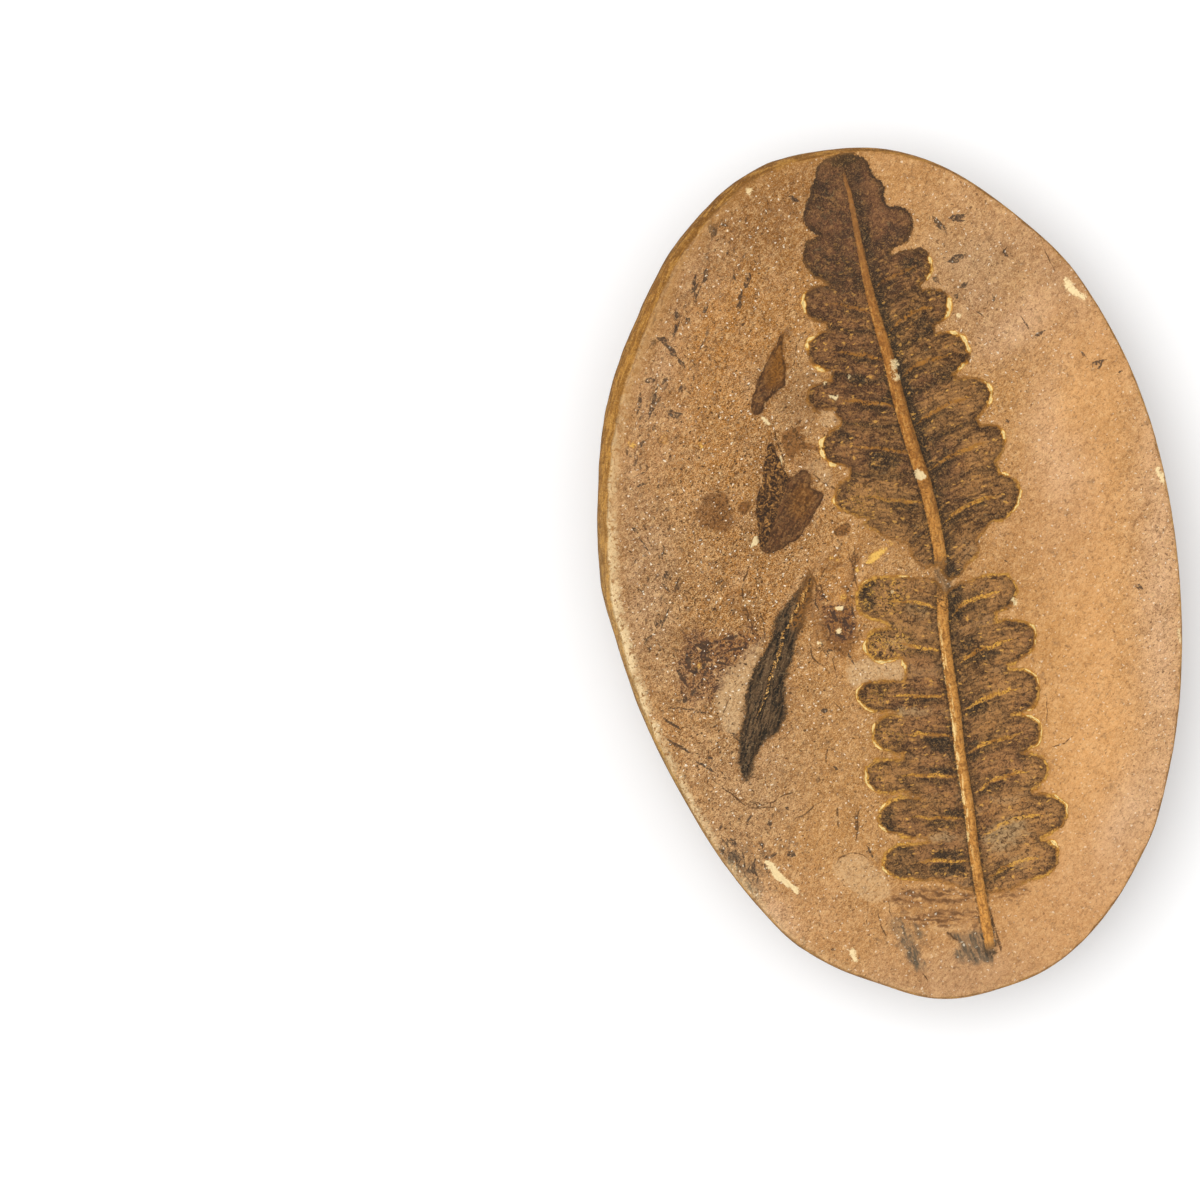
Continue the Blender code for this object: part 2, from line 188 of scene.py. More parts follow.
def rim_radius(angle):
    """How far the widest section reaches in a direction, in millimetres."""
    oval = 1.0 / np.hypot(np.cos(angle) / (WIDTH / 2), np.sin(angle) / (LENGTH / 2))
    radius = oval * (1.0 - LOBE_SHARE * np.cos(3.0 * (angle - LOBE_TURN)))
    for degrees, height, spread in OUTLINE_BUMPS:
        radius = radius + height * np.exp(-(turned(angle, degrees) / spread) ** 2)
    return radius


def band_share(angle):
    """0 where the skin's band is narrow, 1 where it is widest."""
    turn = turned(angle, BAND_DIRECTION)
    spread = np.where(turn < 0, BAND_SPREAD[0], BAND_SPREAD[1])
    return np.exp(-(turn / spread) ** 2)


def pale_share(angle):
    """How pale the face's edge is in a direction, from 0 to 1."""
    return np.exp(-(turned(angle, PALE_RIM[0]) / PALE_RIM[1]) ** 2)


print("rim reaches", round(float(rim_radius(0.0)), 1), "mm to the right")

# %% [markdown]
# ## The frond
# The frond has one rib and two rows of leaflets. Each leaflet is a blunt tongue round its midvein,
# and a web along the rib joins them all. A row of the leaflet tables is one leaflet: where its tip
# lies, how wide it is, and how far down its midvein leaves the rib. The leafy tip, the webs and the
# torn pieces follow no rule, so they are outlines: x and y in turn, point by point.

# %% Frond tables
RIB = ((843, 152), (844, 177), (849, 195), (854, 221), (862, 262), (872, 306), (885, 350), (900, 408),
       (913, 451), (926, 492), (938, 548), (941, 585), (942, 622), (948, 670), (954, 708), (959, 752),
       (968, 808), (973, 851), (979, 888), (990, 950))
# The rib's half width in millimetres, at places from its tip, 0, to its foot, 1
RIB_PLACES = (0.0, 0.05, 0.12, 0.2, 0.3, 0.4, 0.5, 0.62, 1.0)
RIB_HALVES = (0.12, 0.3, 0.45, 0.65, 0.85, 0.92, 0.85, 0.75, 0.7)
LEFT_LEAFLETS = (
    (802, 303, 40, 317), (806, 350, 42, 364), (807, 398, 38, 411), (821, 446, 44, 457),
    (833, 497, 43, 506), (856, 597, 48, 610), (863, 645, 36, 650), (857, 695, 36, 696),
    (871, 733, 38, 738), (865, 775, 38, 778), (878, 816, 40, 820), (883, 861, 38, 859),
)
RIGHT_LEAFLETS = (
    (932, 264, 38, 298), (949, 304, 40, 341), (968, 351, 44, 385), (990, 395, 44, 434),
    (1004, 441, 42, 480), (1019, 492, 50, 532), (1017, 588, 38, 625), (1035, 637, 44, 672),
    (1039, 687, 46, 717), (1040, 730, 42, 760), (1047, 769, 43, 798), (1065, 811, 45, 844),
    (1058, 854, 42, 884),
)
FROND_TIP = (
    844, 152, 833, 156, 822, 163, 815, 175, 812, 193, 806, 205, 803, 216, 807, 228, 819, 238, 806, 244,
    802, 256, 806, 269, 814, 277, 825, 284, 868, 316, 884, 290, 890, 252, 897, 246, 909, 239, 914, 226,
    908, 214, 896, 207, 886, 204, 887, 190, 882, 181, 874, 177, 871, 168, 863, 159, 855, 155)
TORN_LEAFLETS = (
    (900, 492, 866, 521, 869, 528, 889, 538, 906, 546, 911, 557, 922, 569, 937, 567, 945, 580, 960, 577,
     967, 565, 977, 555, 977, 540, 984, 531, 990, 505),
)
FROND_WEBS = (
    (829, 284, 826, 327, 830, 373, 839, 425, 849, 472, 867, 520, 990, 505, 996, 465, 977, 419, 952, 373,
     933, 327, 918, 282, 890, 254),
    (884, 608, 884, 622, 904, 662, 905, 682, 902, 712, 902, 757, 918, 796, 927, 840, 932, 877, 976, 890,
     1004, 884, 1034, 874, 1040, 836, 1034, 792, 1022, 750, 1010, 711, 1008, 665, 996, 624, 992, 600,
     946, 601),
)
FLAKED_PATCHES = (
    (850, 661, 902, 660, 905, 671, 903, 681, 884, 680, 850, 684),
    (818, 412, 833, 410, 838, 424, 822, 426),
)
LEAF_SCRAPS = (
    (786, 333, 783, 352, 786, 372, 784, 385, 772, 395, 764, 402, 761, 414, 753, 415, 752, 400, 761, 371,
     770, 357),
    (773, 444, 780, 466, 785, 478, 803, 471, 810, 478, 811, 488, 823, 495, 817, 510, 798, 537, 776, 552,
     762, 550, 756, 520, 761, 485, 767, 460),
)
LOOSE_STEM = (
    777, 616, 773, 634, 768, 646, 758, 662, 751, 676, 746, 696, 744, 716, 740, 742, 741, 766, 747, 780,
    750, 776, 754, 762, 760, 750, 768, 736, 778, 727, 784, 710, 784, 694, 785, 678, 789, 662, 795, 646,
    800, 627, 803, 610, 808, 594, 811, 578, 806, 577, 798, 594, 788, 604)
# How pale each leaflet's film is, from 0 to 1, down the left row and then down the right one
LEAFLET_SHADES = (0.33, 0.30, 0.32, 0.46, 0.56, 0.66, 0.90, 0.52, 0.60, 0.60, 0.56, 0.68,
                  0.36, 0.40, 0.36, 0.56, 0.50, 0.45, 0.60, 0.55, 0.60, 0.52, 0.60, 0.56, 0.62)
LEAFLETS = LEFT_LEAFLETS + RIGHT_LEAFLETS
print(len(LEAFLETS), "leaflets")

# %% Leaflet shapes
BLUNTNESS = 2.4         # 2 would give round tips, more gives squarer ones
TIP_LENGTH = 1.3        # of a leaflet's rounded end, in half widths


def smooth_step(value):
    """Rises from 0 to 1, with no corner at either end."""
    share = np.clip(value, 0.0, 1.0)
    return share * share * (3.0 - 2.0 * share)


def smooth_curve(points, pieces, closed=False):
    """A Catmull-Rom curve through the points, with so many pieces to each stretch."""
    if closed:
        padded = np.vstack([points[-1], points, points[:2]])
    else:
        padded = np.vstack([2 * points[0] - points[1], points, 2 * points[-1] - points[-2]])
    curve = []
    for a, b, c, d in zip(padded[:-3], padded[1:-2], padded[2:-1], padded[3:]):
        for share in np.arange(pieces) / pieces:
            bend = (2 * a - 5 * b + 4 * c - d) * share ** 2 + (3 * b - a - 3 * c + d) * share ** 3
            curve.append(b + 0.5 * ((c - a) * share + bend))
    return np.array(curve if closed else curve + [points[-1]])


def outline_of(points):
    """A closed outline on the plan grid, with its corners rounded a little."""
    return smooth_curve(plan_points(points), 3, closed=True)


def leaflet_vein(leaflet):
    """The midvein of one leaflet: it leaves the rib steeply and levels out towards the tip."""
    tip_x, tip_y, _, base_y = leaflet
    base_x = np.interp(base_y, [y for _, y in RIB], [x for x, _ in RIB])
    bend_x = base_x + 0.3 * (tip_x - base_x)
    bend_y = tip_y + 0.15 * (base_y - tip_y)
    share = np.linspace(0.0, 1.0, 12)[:, None]
    base, bend, tip = plan_points([(base_x, base_y), (bend_x, bend_y), (tip_x, tip_y)])
    return (1 - share) ** 2 * base + 2 * share * (1 - share) * bend + share ** 2 * tip


def leaflet_outline(leaflet):
    """A blunt tongue round the midvein, narrower where the web along the rib takes over."""
    vein = leaflet_vein(leaflet)
    half = leaflet[2] * PLAN_STEP / 2
    tip = TIP_LENGTH * half / np.hypot(*(vein[-1] - vein[0]))
    rounding = np.sin(np.linspace(0, math.pi / 2, 12)) ** (2 / BLUNTNESS)
    share = np.concatenate([np.linspace(0.0, 1 - tip, 8, endpoint=False), 1 - tip + tip * rounding])
    steps = np.linspace(0.0, 1.0, len(vein))
    middle = np.column_stack([np.interp(share, steps, vein[:, axis]) for axis in (0, 1)])
    run = np.gradient(middle, axis=0)
    side = np.stack([-run[:, 1], run[:, 0]], axis=1) / np.hypot(run[:, 0], run[:, 1])[:, None]
    foot = 0.6 + 0.55 * smooth_step(share / 0.3) - 0.15 * smooth_step((share - 0.35) / 0.3)
    rounding = np.clip((share - 1) / tip + 1, 0.0, 1.0)
    reach = half * foot * (1.0 - rounding ** BLUNTNESS) ** (1 / BLUNTNESS)
    left = middle + side * reach[:, None]
    right = middle - side * reach[:, None]
    return np.vstack([left, right[-2::-1]])


rib_line = smooth_curve(plan_points(RIB), 4)
vein_lines = [leaflet_vein(leaflet) for leaflet in LEAFLETS]
leaflet_lines = [leaflet_outline(leaflet) for leaflet in LEAFLETS]
other_film_lines = [outline_of(outline) for outline in (FROND_TIP,) + TORN_LEAFLETS + FROND_WEBS]
print("leaflets are", round(np.hypot(*(vein_lines[3][-1] - vein_lines[3][0])), 1), "mm long")

# %% [markdown]
# ## Distances
# A signed distance says how deep a point lies inside an outline. It is the one number that serves
# the shape, as the height of a step, and the colours, as the place of an edge. It changes evenly
# over a surface, so an edge drawn from it stays crisp between vertices.

# %% Distance helpers
def distance_to_line(points, line, closed):
    """Distance from each point to a line, the same with a sign for its side, and the place along it."""
    starts = line if closed else line[:-1]
    ends = np.roll(line, -1, axis=0) if closed else line[1:]
    nearest = np.full(len(points), np.inf)
    side = np.zeros(len(points))
    along = np.zeros(len(points))
    travelled = 0.0
    for start, end in zip(starts, ends):
        run = end - start
        length = np.hypot(run[0], run[1])
        share = np.clip(((points - start) @ run) / length ** 2, 0.0, 1.0)
        gap = points - start - share[:, None] * run
        distance = np.hypot(gap[:, 0], gap[:, 1])
        closer = distance < nearest
        nearest = np.where(closer, distance, nearest)
        side = np.where(closer, (run[0] * gap[:, 1] - run[1] * gap[:, 0]) / length, side)
        along = np.where(closer, travelled + share * length, along)
        travelled += length
    return nearest, side, along / travelled


def is_inside(points, outline):
    """True for each point that a closed outline goes round."""
    inside = np.zeros(len(points), bool)
    for (x0, y0), (x1, y1) in zip(outline, np.roll(outline, -1, axis=0)):
        if y0 == y1:
            continue
        level = (points[:, 1] > y0) != (points[:, 1] > y1)
        crossing = x0 + (points[:, 1] - y0) / (y1 - y0) * (x1 - x0)
        inside ^= level & (points[:, 0] < crossing)
    return inside


def depth_inside(points, outline):
    """Distance to an outline, positive inside it and negative outside."""
    distance = distance_to_line(points, outline, closed=True)[0]
    return np.where(is_inside(points, outline), distance, -distance)


def deepest(points, outlines):
    """How deep each point lies in the outline that holds it best."""
    return np.max([depth_inside(points, outline) for outline in outlines], axis=0)


probe = np.array([[0.0, 0.0]])
rib_gap = float(distance_to_line(probe, rib_line, closed=False)[0][0])
print("the rib passes", round(rib_gap, 2), "mm from the stone's middle")

# %% [markdown]
# ## Marks on the bare stone
# The mud that became this stone was full of shredded plants. A shred is a short dark stroke, and a
# root or a twig is a longer and thinner one. Each is a width and a line of grid places. Patches are
# outlines, sorted by what made them: stains on the ground, chips that bare the stone's pale heart,
# flakes of leaf that stayed behind, and places where the frond's film is worn, sooty or sparkling.

# %% Strokes
SHREDS = (      # each a width in grid steps, then the places it runs through, x and y in turn
    (1.3, 632, 480, 650, 469), (2.4, 636, 487, 646, 484), (2.6, 625, 450, 627, 457),
    (3.0, 631, 527, 637, 534), (2.0, 638, 539, 649, 552), (2.6, 642, 526, 644, 530),
    (2.6, 660, 555, 661, 559), (5.5, 664, 573, 667, 580), (3.0, 661, 584, 670, 592),
    (2.4, 680, 576, 675, 592), (2.2, 636, 559, 632, 566), (2.0, 669, 605, 660, 632),
    (5.5, 656, 618, 656, 628), (2.6, 655, 632, 644, 646), (1.2, 693, 527, 694, 541),
    (3.4, 676, 669, 681, 677, 688, 688), (6.0, 687, 696, 684, 703), (5.5, 694, 645, 708, 652),
    (6.0, 706, 662, 704, 668), (1.8, 670, 708, 700, 711, 718, 715), (2.8, 660, 717, 682, 730),
    (3.2, 662, 736, 680, 746, 694, 754), (3.4, 694, 760, 713, 772), (1.6, 711, 727, 718, 724),
    (6.5, 821, 709, 827, 710), (5.0, 828, 650, 832, 652), (1.6, 730, 733, 742, 734),
    (2.0, 731, 733, 742, 743), (1.6, 684, 652, 693, 653), (2.2, 684, 664, 690, 669),
    (6.0, 707, 268, 703, 286), (3.4, 694, 276, 692, 294), (7.0, 717, 226, 711, 241),
    (5.0, 722, 226, 729, 227), (4.5, 726, 250, 726, 254), (7.0, 750, 272, 744, 290),
    (4.5, 741, 292, 738, 302), (5.0, 740, 304, 738, 311), (3.5, 707, 302, 703, 314),
    (5.0, 676, 311, 675, 321), (5.5, 686, 321, 689, 324), (3.0, 679, 320, 674, 338),
    (5.0, 648, 350, 656, 342), (7.5, 655, 340, 664, 340, 668, 348), (5.0, 667, 344, 676, 358),
    (3.0, 676, 356, 684, 372), (5.5, 644, 382, 653, 380), (3.4, 643, 392, 637, 416),
    (3.6, 658, 388, 653, 410), (3.2, 651, 405, 649, 420), (8.0, 668, 413, 680, 417),
    (5.0, 671, 417, 683, 414), (3.0, 711, 220, 708, 231), (2.6, 700, 286, 697, 300),
    (2.6, 734, 272, 737, 281), (2.4, 664, 292, 660, 308), (2.6, 656, 316, 652, 328),
    (4.0, 787, 197, 800, 203), (4.5, 797, 424, 801, 422), (3.6, 709, 755, 711, 759),
    (5.0, 768, 819, 769, 826), (4.0, 785, 808, 788, 809), (3.2, 762, 856, 776, 855),
    (6.0, 753, 864, 755, 875), (2.4, 753, 854, 757, 882), (3.2, 722, 837, 728, 845),
    (6.5, 719, 848, 722, 853), (1.6, 743, 845, 745, 876, 750, 883), (3.0, 762, 840, 762, 846),
    (2.6, 865, 846, 873, 859), (1.6, 826, 748, 825, 763), (5.0, 834, 767, 838, 769),
    (8.0, 787, 853, 794, 856), (5.0, 840, 846, 842, 847), (5.0, 830, 947, 833, 948),
    (6.0, 932, 217, 946, 233), (4.6, 949, 219, 965, 214), (3.0, 950, 221, 962, 220),
    (7.5, 947, 262, 962, 254), (6.0, 933, 278, 936, 282), (4.5, 954, 298, 957, 300),
    (3.0, 1034, 338, 1045, 332), (1.6, 1022, 317, 1029, 332), (6.0, 1005, 421, 1007, 424),
    (3.0, 1079, 352, 1086, 358), (3.4, 1090, 366, 1104, 359), (2.6, 1096, 371, 1100, 366),
    (3.4, 1132, 585, 1142, 587), (3.0, 1003, 560, 1006, 562), (4.0, 836, 530, 847, 534),
    (2.6, 1118, 373, 1123, 371), (2.2, 975, 310, 984, 316), (2.4, 958, 292, 968, 285),
    (3.0, 1002, 250, 1008, 259), (3.0, 992, 296, 994, 304), (2.4, 700, 351, 704, 341),
    (3.2, 728, 850, 733, 868), (2.2, 735, 848, 738, 872), (2.6, 746, 884, 752, 894),
    (3.6, 730, 838, 736, 846), (2.2, 757, 846, 764, 852), (2.6, 764, 862, 768, 878),
    (5.0, 832, 611, 838, 622), (4.5, 843, 616, 849, 629), (3.4, 835, 633, 847, 640),
    (3.2, 826, 622, 830, 634), (2.2, 852, 604, 856, 618), (2.6, 812, 600, 818, 612),
    (2.2, 818, 640, 826, 656), (2.6, 846, 650, 852, 664), (4.0, 686, 652, 692, 667),
    (3.4, 700, 641, 714, 645), (3.4, 704, 656, 714, 660), (2.8, 688, 670, 699, 673),
    (3.0, 722, 640, 738, 636), (3.0, 726, 652, 744, 647), (2.4, 716, 662, 728, 664),
    (3.0, 700, 820, 703, 830), (4.0, 699, 846, 704, 856), (2.4, 706, 838, 712, 846),
    (3.4, 716, 858, 722, 868), (2.6, 731, 874, 735, 886), (3.0, 700, 650, 702, 662),
)
THREADS = (     # roots, twigs and cracks, finer and browner
    (1.6, 749, 553, 749, 574, 742, 584, 744, 602, 751, 622, 754, 630),
    (1.5, 742, 603, 743, 612, 750, 624), (1.5, 760, 612, 765, 628, 763, 640), (1.2, 672, 485, 675, 496),
    (1.7, 708, 778, 723, 789, 738, 799, 749, 807), (1.3, 749, 807, 756, 808, 778, 806),
    (1.5, 749, 802, 762, 804, 773, 802, 782, 796, 801, 789),
    (1.3, 792, 819, 806, 812, 815, 805, 827, 796), (1.7, 859, 808, 856, 826, 854, 841),
    (1.0, 856, 809, 853, 828), (2.4, 836, 806, 839, 827), (1.2, 848, 552, 850, 566, 858, 592),
    (1.2, 854, 548, 852, 572), (1.0, 1045, 690, 1046, 720), (1.0, 1040, 240, 1055, 270),
    (1.3, 836, 862, 841, 856, 851, 853, 862, 856, 869, 861),
    (1.5, 841, 492, 833, 489, 822, 482, 812, 475),
    (1.8, 770, 424, 774, 436, 780, 450, 783, 462, 780, 476), (1.3, 833, 700, 842, 712),
    (1.2, 877, 907, 881, 924, 887, 945), (1.0, 868, 905, 866, 930), (1.2, 888, 900, 893, 918),
    (1.2, 922, 970, 927, 982), (1.3, 1050, 747, 1065, 742, 1072, 735), (1.6, 857, 570, 845, 596),
    (1.2, 848, 610, 840, 640), (2.2, 947, 931, 957, 940), (2.6, 990, 912, 995, 932, 999, 954),
    (1.3, 800, 338, 790, 372), (1.4, 1000, 256, 1006, 248), (1.2, 730, 700, 720, 716),
    (1.6, 828, 564, 821, 580, 822, 596, 833, 603), (1.3, 808, 640, 814, 660, 827, 672),
    (1.5, 806, 566, 816, 586, 812, 604), (1.3, 838, 640, 832, 660, 836, 676),
)
print(len(SHREDS), "shreds and", len(THREADS), "threads")

# %% Patches
PATCHES = {     # by kind: strength, softness of the edge in millimetres, then the outline
    "brown": (        # rusty stains and rotted leaf
        (1.0, 0.25, 705, 497, 716, 492, 727, 491, 730, 503, 735, 516, 732, 526, 724, 534, 712, 531, 698,
         522, 697, 513),
        (0.9, 0.2, 739, 504, 752, 504, 748, 512, 738, 512),
        (0.35, 2.0, 780, 438, 820, 452, 818, 478, 800, 486, 785, 470),
        (0.7, 0.3, 741, 603, 746, 606, 752, 618, 753, 627, 746, 621, 741, 612),
        (1.0, 0.8, 820, 610, 836, 606, 853, 609, 858, 628, 852, 648, 838, 656, 824, 644, 817, 628),
        (0.42, 2.6, 674, 642, 700, 624, 730, 630, 757, 616, 762, 640, 744, 662, 724, 690, 704, 706, 682,
         692),
        (0.5, 1.6, 782, 690, 792, 672, 794, 700, 788, 722, 776, 732, 780, 710),
        (0.45, 1.2, 725, 590, 742, 588, 750, 604, 742, 622, 728, 612),
        (0.6, 0.8, 806, 596, 820, 590, 826, 620, 816, 640, 806, 622),
        (0.35, 1.2, 745, 352, 762, 350, 764, 362, 750, 368),
        (0.35, 2.0, 786, 380, 812, 372, 826, 400, 812, 432, 792, 424, 782, 402),
        (0.3, 2.0, 884, 888, 915, 886, 970, 890, 984, 905, 976, 922, 940, 930, 905, 914, 890, 902),
        (0.25, 1.6, 985, 245, 1012, 240, 1022, 262, 1004, 272, 988, 262),
        (0.75, 0.6, 850, 554, 860, 556, 853, 586, 846, 610, 841, 604, 846, 576),
        (0.6, 0.6, 820, 556, 832, 552, 836, 566, 826, 574, 816, 570),
        (0.22, 4.0, 752, 196, 800, 186, 808, 214, 792, 246, 756, 248),
    ),
    "remnant": (        # flakes of leaf that stayed on the stone
        (1.0, 0.15, 782, 434, 790, 430, 804, 427, 801, 434, 808, 437, 805, 443, 821, 449, 819, 453, 805,
         449, 799, 450, 802, 458, 795, 454, 792, 465, 787, 456, 781, 445),
        (0.8, 0.25, 739, 504, 751, 503, 753, 507, 747, 513, 739, 512),
        (0.9, 0.2, 834, 529, 846, 524, 850, 528, 846, 534, 836, 535),
        (0.7, 0.2, 793, 418, 799, 421, 801, 424, 797, 425),
    ),
    "glint": (        # film that sparkles with small golden crystals
        (0.9, 1.0, 859, 576, 876, 570, 896, 578, 904, 592, 896, 606, 872, 610, 859, 600),
        (1.0, 1.0, 864, 630, 882, 624, 904, 630, 908, 650, 886, 662, 866, 656),
        (0.5, 1.0, 860, 690, 884, 686, 888, 704, 862, 706),
        (0.5, 1.0, 874, 728, 892, 724, 906, 734, 892, 746, 876, 742),
        (0.4, 1.0, 868, 768, 884, 764, 886, 784, 870, 786),
        (0.4, 1.0, 834, 500, 852, 486, 880, 492, 876, 514, 846, 516),
    ),
    "ghost": (        # leaflets that left only a stain
        (1.0, 0.7, 890, 892, 926, 888, 966, 892, 976, 899, 950, 904, 914, 906, 893, 902),
        (1.0, 0.7, 905, 914, 940, 908, 974, 909, 980, 917, 960, 924, 925, 926, 908, 922),
        (0.7, 0.8, 990, 888, 1020, 884, 1030, 892, 1010, 902, 992, 900),
        (0.6, 0.8, 968, 926, 985, 922, 988, 930, 972, 932),
    ),
    "purple": (        # dark purplish stains, as of manganese
        (1.0, 1.3, 680, 650, 690, 634, 702, 630, 712, 640, 724, 638, 738, 630, 752, 626, 758, 638, 752,
         650, 742, 658, 730, 668, 722, 684, 712, 700, 694, 704, 682, 694, 676, 672),
        (0.8, 0.6, 822, 606, 838, 602, 854, 606, 857, 624, 848, 641, 832, 640, 824, 624),
        (0.7, 0.5, 814, 590, 822, 586, 824, 600, 816, 604),
    ),
    "slate": (        # grey, sooty smears
        (0.8, 0.6, 934, 570, 951, 572, 954, 590, 955, 610, 941, 616, 934, 600),
        (0.5, 2.4, 722, 846, 745, 846, 762, 868, 768, 888, 756, 904, 738, 888, 724, 866),
        (0.9, 0.8, 946, 930, 960, 934, 975, 930, 990, 934, 993, 955, 985, 963, 960, 963, 951, 955, 958,
         944),
        (0.85, 1.3, 889, 918, 900, 918, 912, 935, 922, 955, 926, 968, 915, 967, 903, 950, 894, 935),
        (0.6, 1.1, 912, 921, 920, 926, 926, 945, 917, 942),
    ),
    "pale": (        # lighter ground, where a flake came off
        (1.0, 0.6, 719, 676, 742, 654, 764, 638, 752, 672, 745, 694, 742, 716, 737, 734, 724, 728, 716,
         700),
        (0.25, 0.9, 792, 335, 812, 345, 822, 370, 815, 395, 822, 425, 820, 448, 800, 436, 788, 430, 776,
         424, 768, 412, 775, 398, 790, 385, 792, 360),
        (0.5, 0.8, 790, 480, 815, 458, 830, 470, 830, 488, 812, 476, 800, 474),
        (0.6, 0.3, 831, 867, 842, 856, 855, 855, 875, 865, 886, 878, 890, 893, 875, 902, 853, 893, 836,
         878),
        (0.8, 0.25, *FLAKED_PATCHES[0]),
        (0.6, 0.3, *FLAKED_PATCHES[1]),
        (0.5, 0.5, 935, 925, 962, 925, 962, 930, 935, 930),
    ),
    "cream": (        # chips down to the pale heart of the stone
        (1.0, 0.15, 765, 860, 773, 863, 779, 871, 790, 879, 802, 893, 796, 892, 786, 884, 775, 878, 768,
         869),
        (0.9, 0.3, 848, 947, 853, 949, 856, 960, 850, 957),
        (0.8, 0.4, 1062, 277, 1068, 280, 1076, 287, 1087, 300, 1082, 303, 1072, 296, 1063, 287),
        (0.8, 0.3, 1155, 466, 1161, 469, 1168, 482, 1166, 490, 1158, 478),
        (0.7, 0.3, 1176, 626, 1182, 628, 1183, 646, 1178, 647),
        (1.0, 0.1, 753, 536, 759, 538, 756, 546, 750, 548), (1.0, 0.15, 795, 598, 799, 598, 797, 602),
        (0.9, 0.15, 779, 458, 781, 459, 779, 470, 776, 470),
        (0.9, 0.2, 760, 416, 764, 419, 770, 423, 767, 426, 761, 421),
        (0.8, 0.2, 745, 190, 752, 191, 748, 197), (0.9, 0.2, 913, 471, 925, 473, 925, 480, 915, 482),
        (0.6, 0.3, 887, 362, 896, 361, 898, 370, 890, 373),
        (0.6, 0.3, 890, 374, 898, 374, 899, 381, 893, 382), (0.8, 0.2, 955, 312, 962, 314, 957, 319),
        (0.7, 0.2, 1010, 597, 1018, 597, 1013, 606),
        (0.9, 0.15, 836, 605, 843, 605, 844, 609, 837, 609),
        (0.9, 0.15, 827, 395, 832, 397, 838, 396, 836, 400, 831, 400),
        (0.7, 0.15, 823, 381, 827, 381, 827, 385, 823, 385),
        (0.6, 0.15, 847, 376, 851, 376, 851, 380, 847, 380),
        (0.6, 0.15, 888, 590, 892, 590, 892, 594, 888, 594),
        (0.8, 0.15, 837, 629, 841, 629, 841, 634, 837, 634),
        (0.8, 0.15, 815, 641, 819, 641, 819, 645, 815, 645),
    ),
    "worn": (        # film worn thin
        (0.8, 1.3, 985, 832, 1000, 822, 1020, 818, 1026, 830, 1012, 846, 995, 854, 984, 846),
        (0.35, 1.2, 1000, 858, 1022, 848, 1036, 860, 1018, 872),
        (0.75, 0.5, 890, 711, 912, 708, 932, 709, 926, 714, 904, 716),
        (0.75, 0.5, 926, 836, 940, 833, 954, 835, 948, 841, 932, 842),
        (0.55, 0.6, 988, 798, 1012, 796, 1018, 801, 1000, 804),
        (0.35, 1.0, 884, 640, 902, 636, 908, 648, 890, 654),
        (0.4, 0.8, 900, 606, 926, 604, 934, 616, 910, 622),
        (0.35, 1.0, 962, 536, 976, 540, 974, 556, 962, 560),
    ),
    "soot": (        # film where the coal lies thickest
        (1.0, 0.7, 861, 577, 868, 574, 874, 582, 872, 596, 876, 606, 868, 610, 860, 600, 858, 588),
        (0.55, 0.8, 890, 842, 902, 838, 914, 846, 916, 872, 900, 876, 889, 864),
        (0.5, 1.0, 812, 252, 850, 248, 858, 290, 830, 294, 812, 274),
        (0.4, 0.8, 962, 590, 984, 590, 990, 606, 986, 640, 972, 646),
        (0.45, 0.7, 928, 428, 944, 430, 952, 480, 940, 492),
        (0.2, 1.0, 906, 522, 930, 520, 934, 548, 916, 552),
        (0.45, 1.4, 813, 172, 836, 166, 842, 214, 816, 224),
        (0.7, 0.7, 974, 650, 996, 646, 1000, 654, 980, 664),
        (0.6, 0.8, 912, 320, 930, 316, 936, 330, 916, 336),
        (0.6, 0.8, 930, 372, 950, 362, 960, 372, 940, 384),
        (0.9, 0.7, 932, 850, 960, 846, 966, 856, 946, 862, 932, 858),
        (0.9, 0.7, 930, 866, 958, 862, 966, 872, 944, 878, 930, 874),
        (0.8, 0.7, 926, 737, 950, 738, 954, 752, 938, 752, 926, 746),
        (0.8, 0.6, 929, 766, 956, 768, 956, 774, 930, 774),
        (0.8, 0.6, 944, 810, 962, 808, 964, 818, 948, 818),
        (0.8, 0.7, 883, 812, 892, 808, 896, 822, 890, 834, 882, 826),
        (0.8, 0.8, 948, 590, 962, 588, 964, 606, 956, 622, 948, 616),
        (0.75, 0.8, 956, 640, 972, 634, 978, 644, 962, 656),
        (0.75, 0.8, 968, 700, 986, 702, 982, 716, 966, 720),
        (0.7, 0.8, 964, 746, 976, 742, 980, 756, 966, 760),
        (0.8, 0.6, 878, 395, 896, 392, 898, 404, 882, 408),
        (0.7, 0.6, 846, 376, 862, 373, 866, 382, 850, 386),
        (0.7, 0.6, 836, 432, 852, 430, 852, 442, 838, 446),
        (0.8, 0.6, 866, 460, 878, 454, 900, 462, 888, 472, 870, 470),
        (0.8, 0.6, 965, 502, 984, 500, 990, 506, 970, 509),
        (0.8, 0.6, 933, 570, 950, 566, 962, 572, 948, 584, 936, 582),
        (0.7, 0.6, 900, 262, 914, 256, 922, 266, 912, 276, 902, 272),
        (0.7, 0.6, 862, 222, 869, 218, 868, 238, 862, 240),
        (0.8, 0.5, 832, 160, 842, 153, 852, 152, 856, 160, 846, 166, 838, 170),
    ),
    "amber": (        # leaf and stem with an amber tint
        (1.0, 0.8, 786, 336, 784, 352, 786, 370, 780, 382, 768, 388, 764, 376, 772, 358),
        (0.5, 0.8, 800, 482, 815, 500, 800, 520, 788, 510),
        (1.0, 0.5, 797, 600, 806, 575, 813, 577, 807, 606, 799, 628, 791, 626),
    ),
    "strip": (        # the speckled strip of the larger scrap
        (1.0, 0.3, 772, 445, 779, 466, 786, 480, 780, 505, 770, 530, 764, 549, 757, 540, 756, 520, 761,
         485, 766, 460),
    ),
    "ochre": (        # spots of yellow ochre
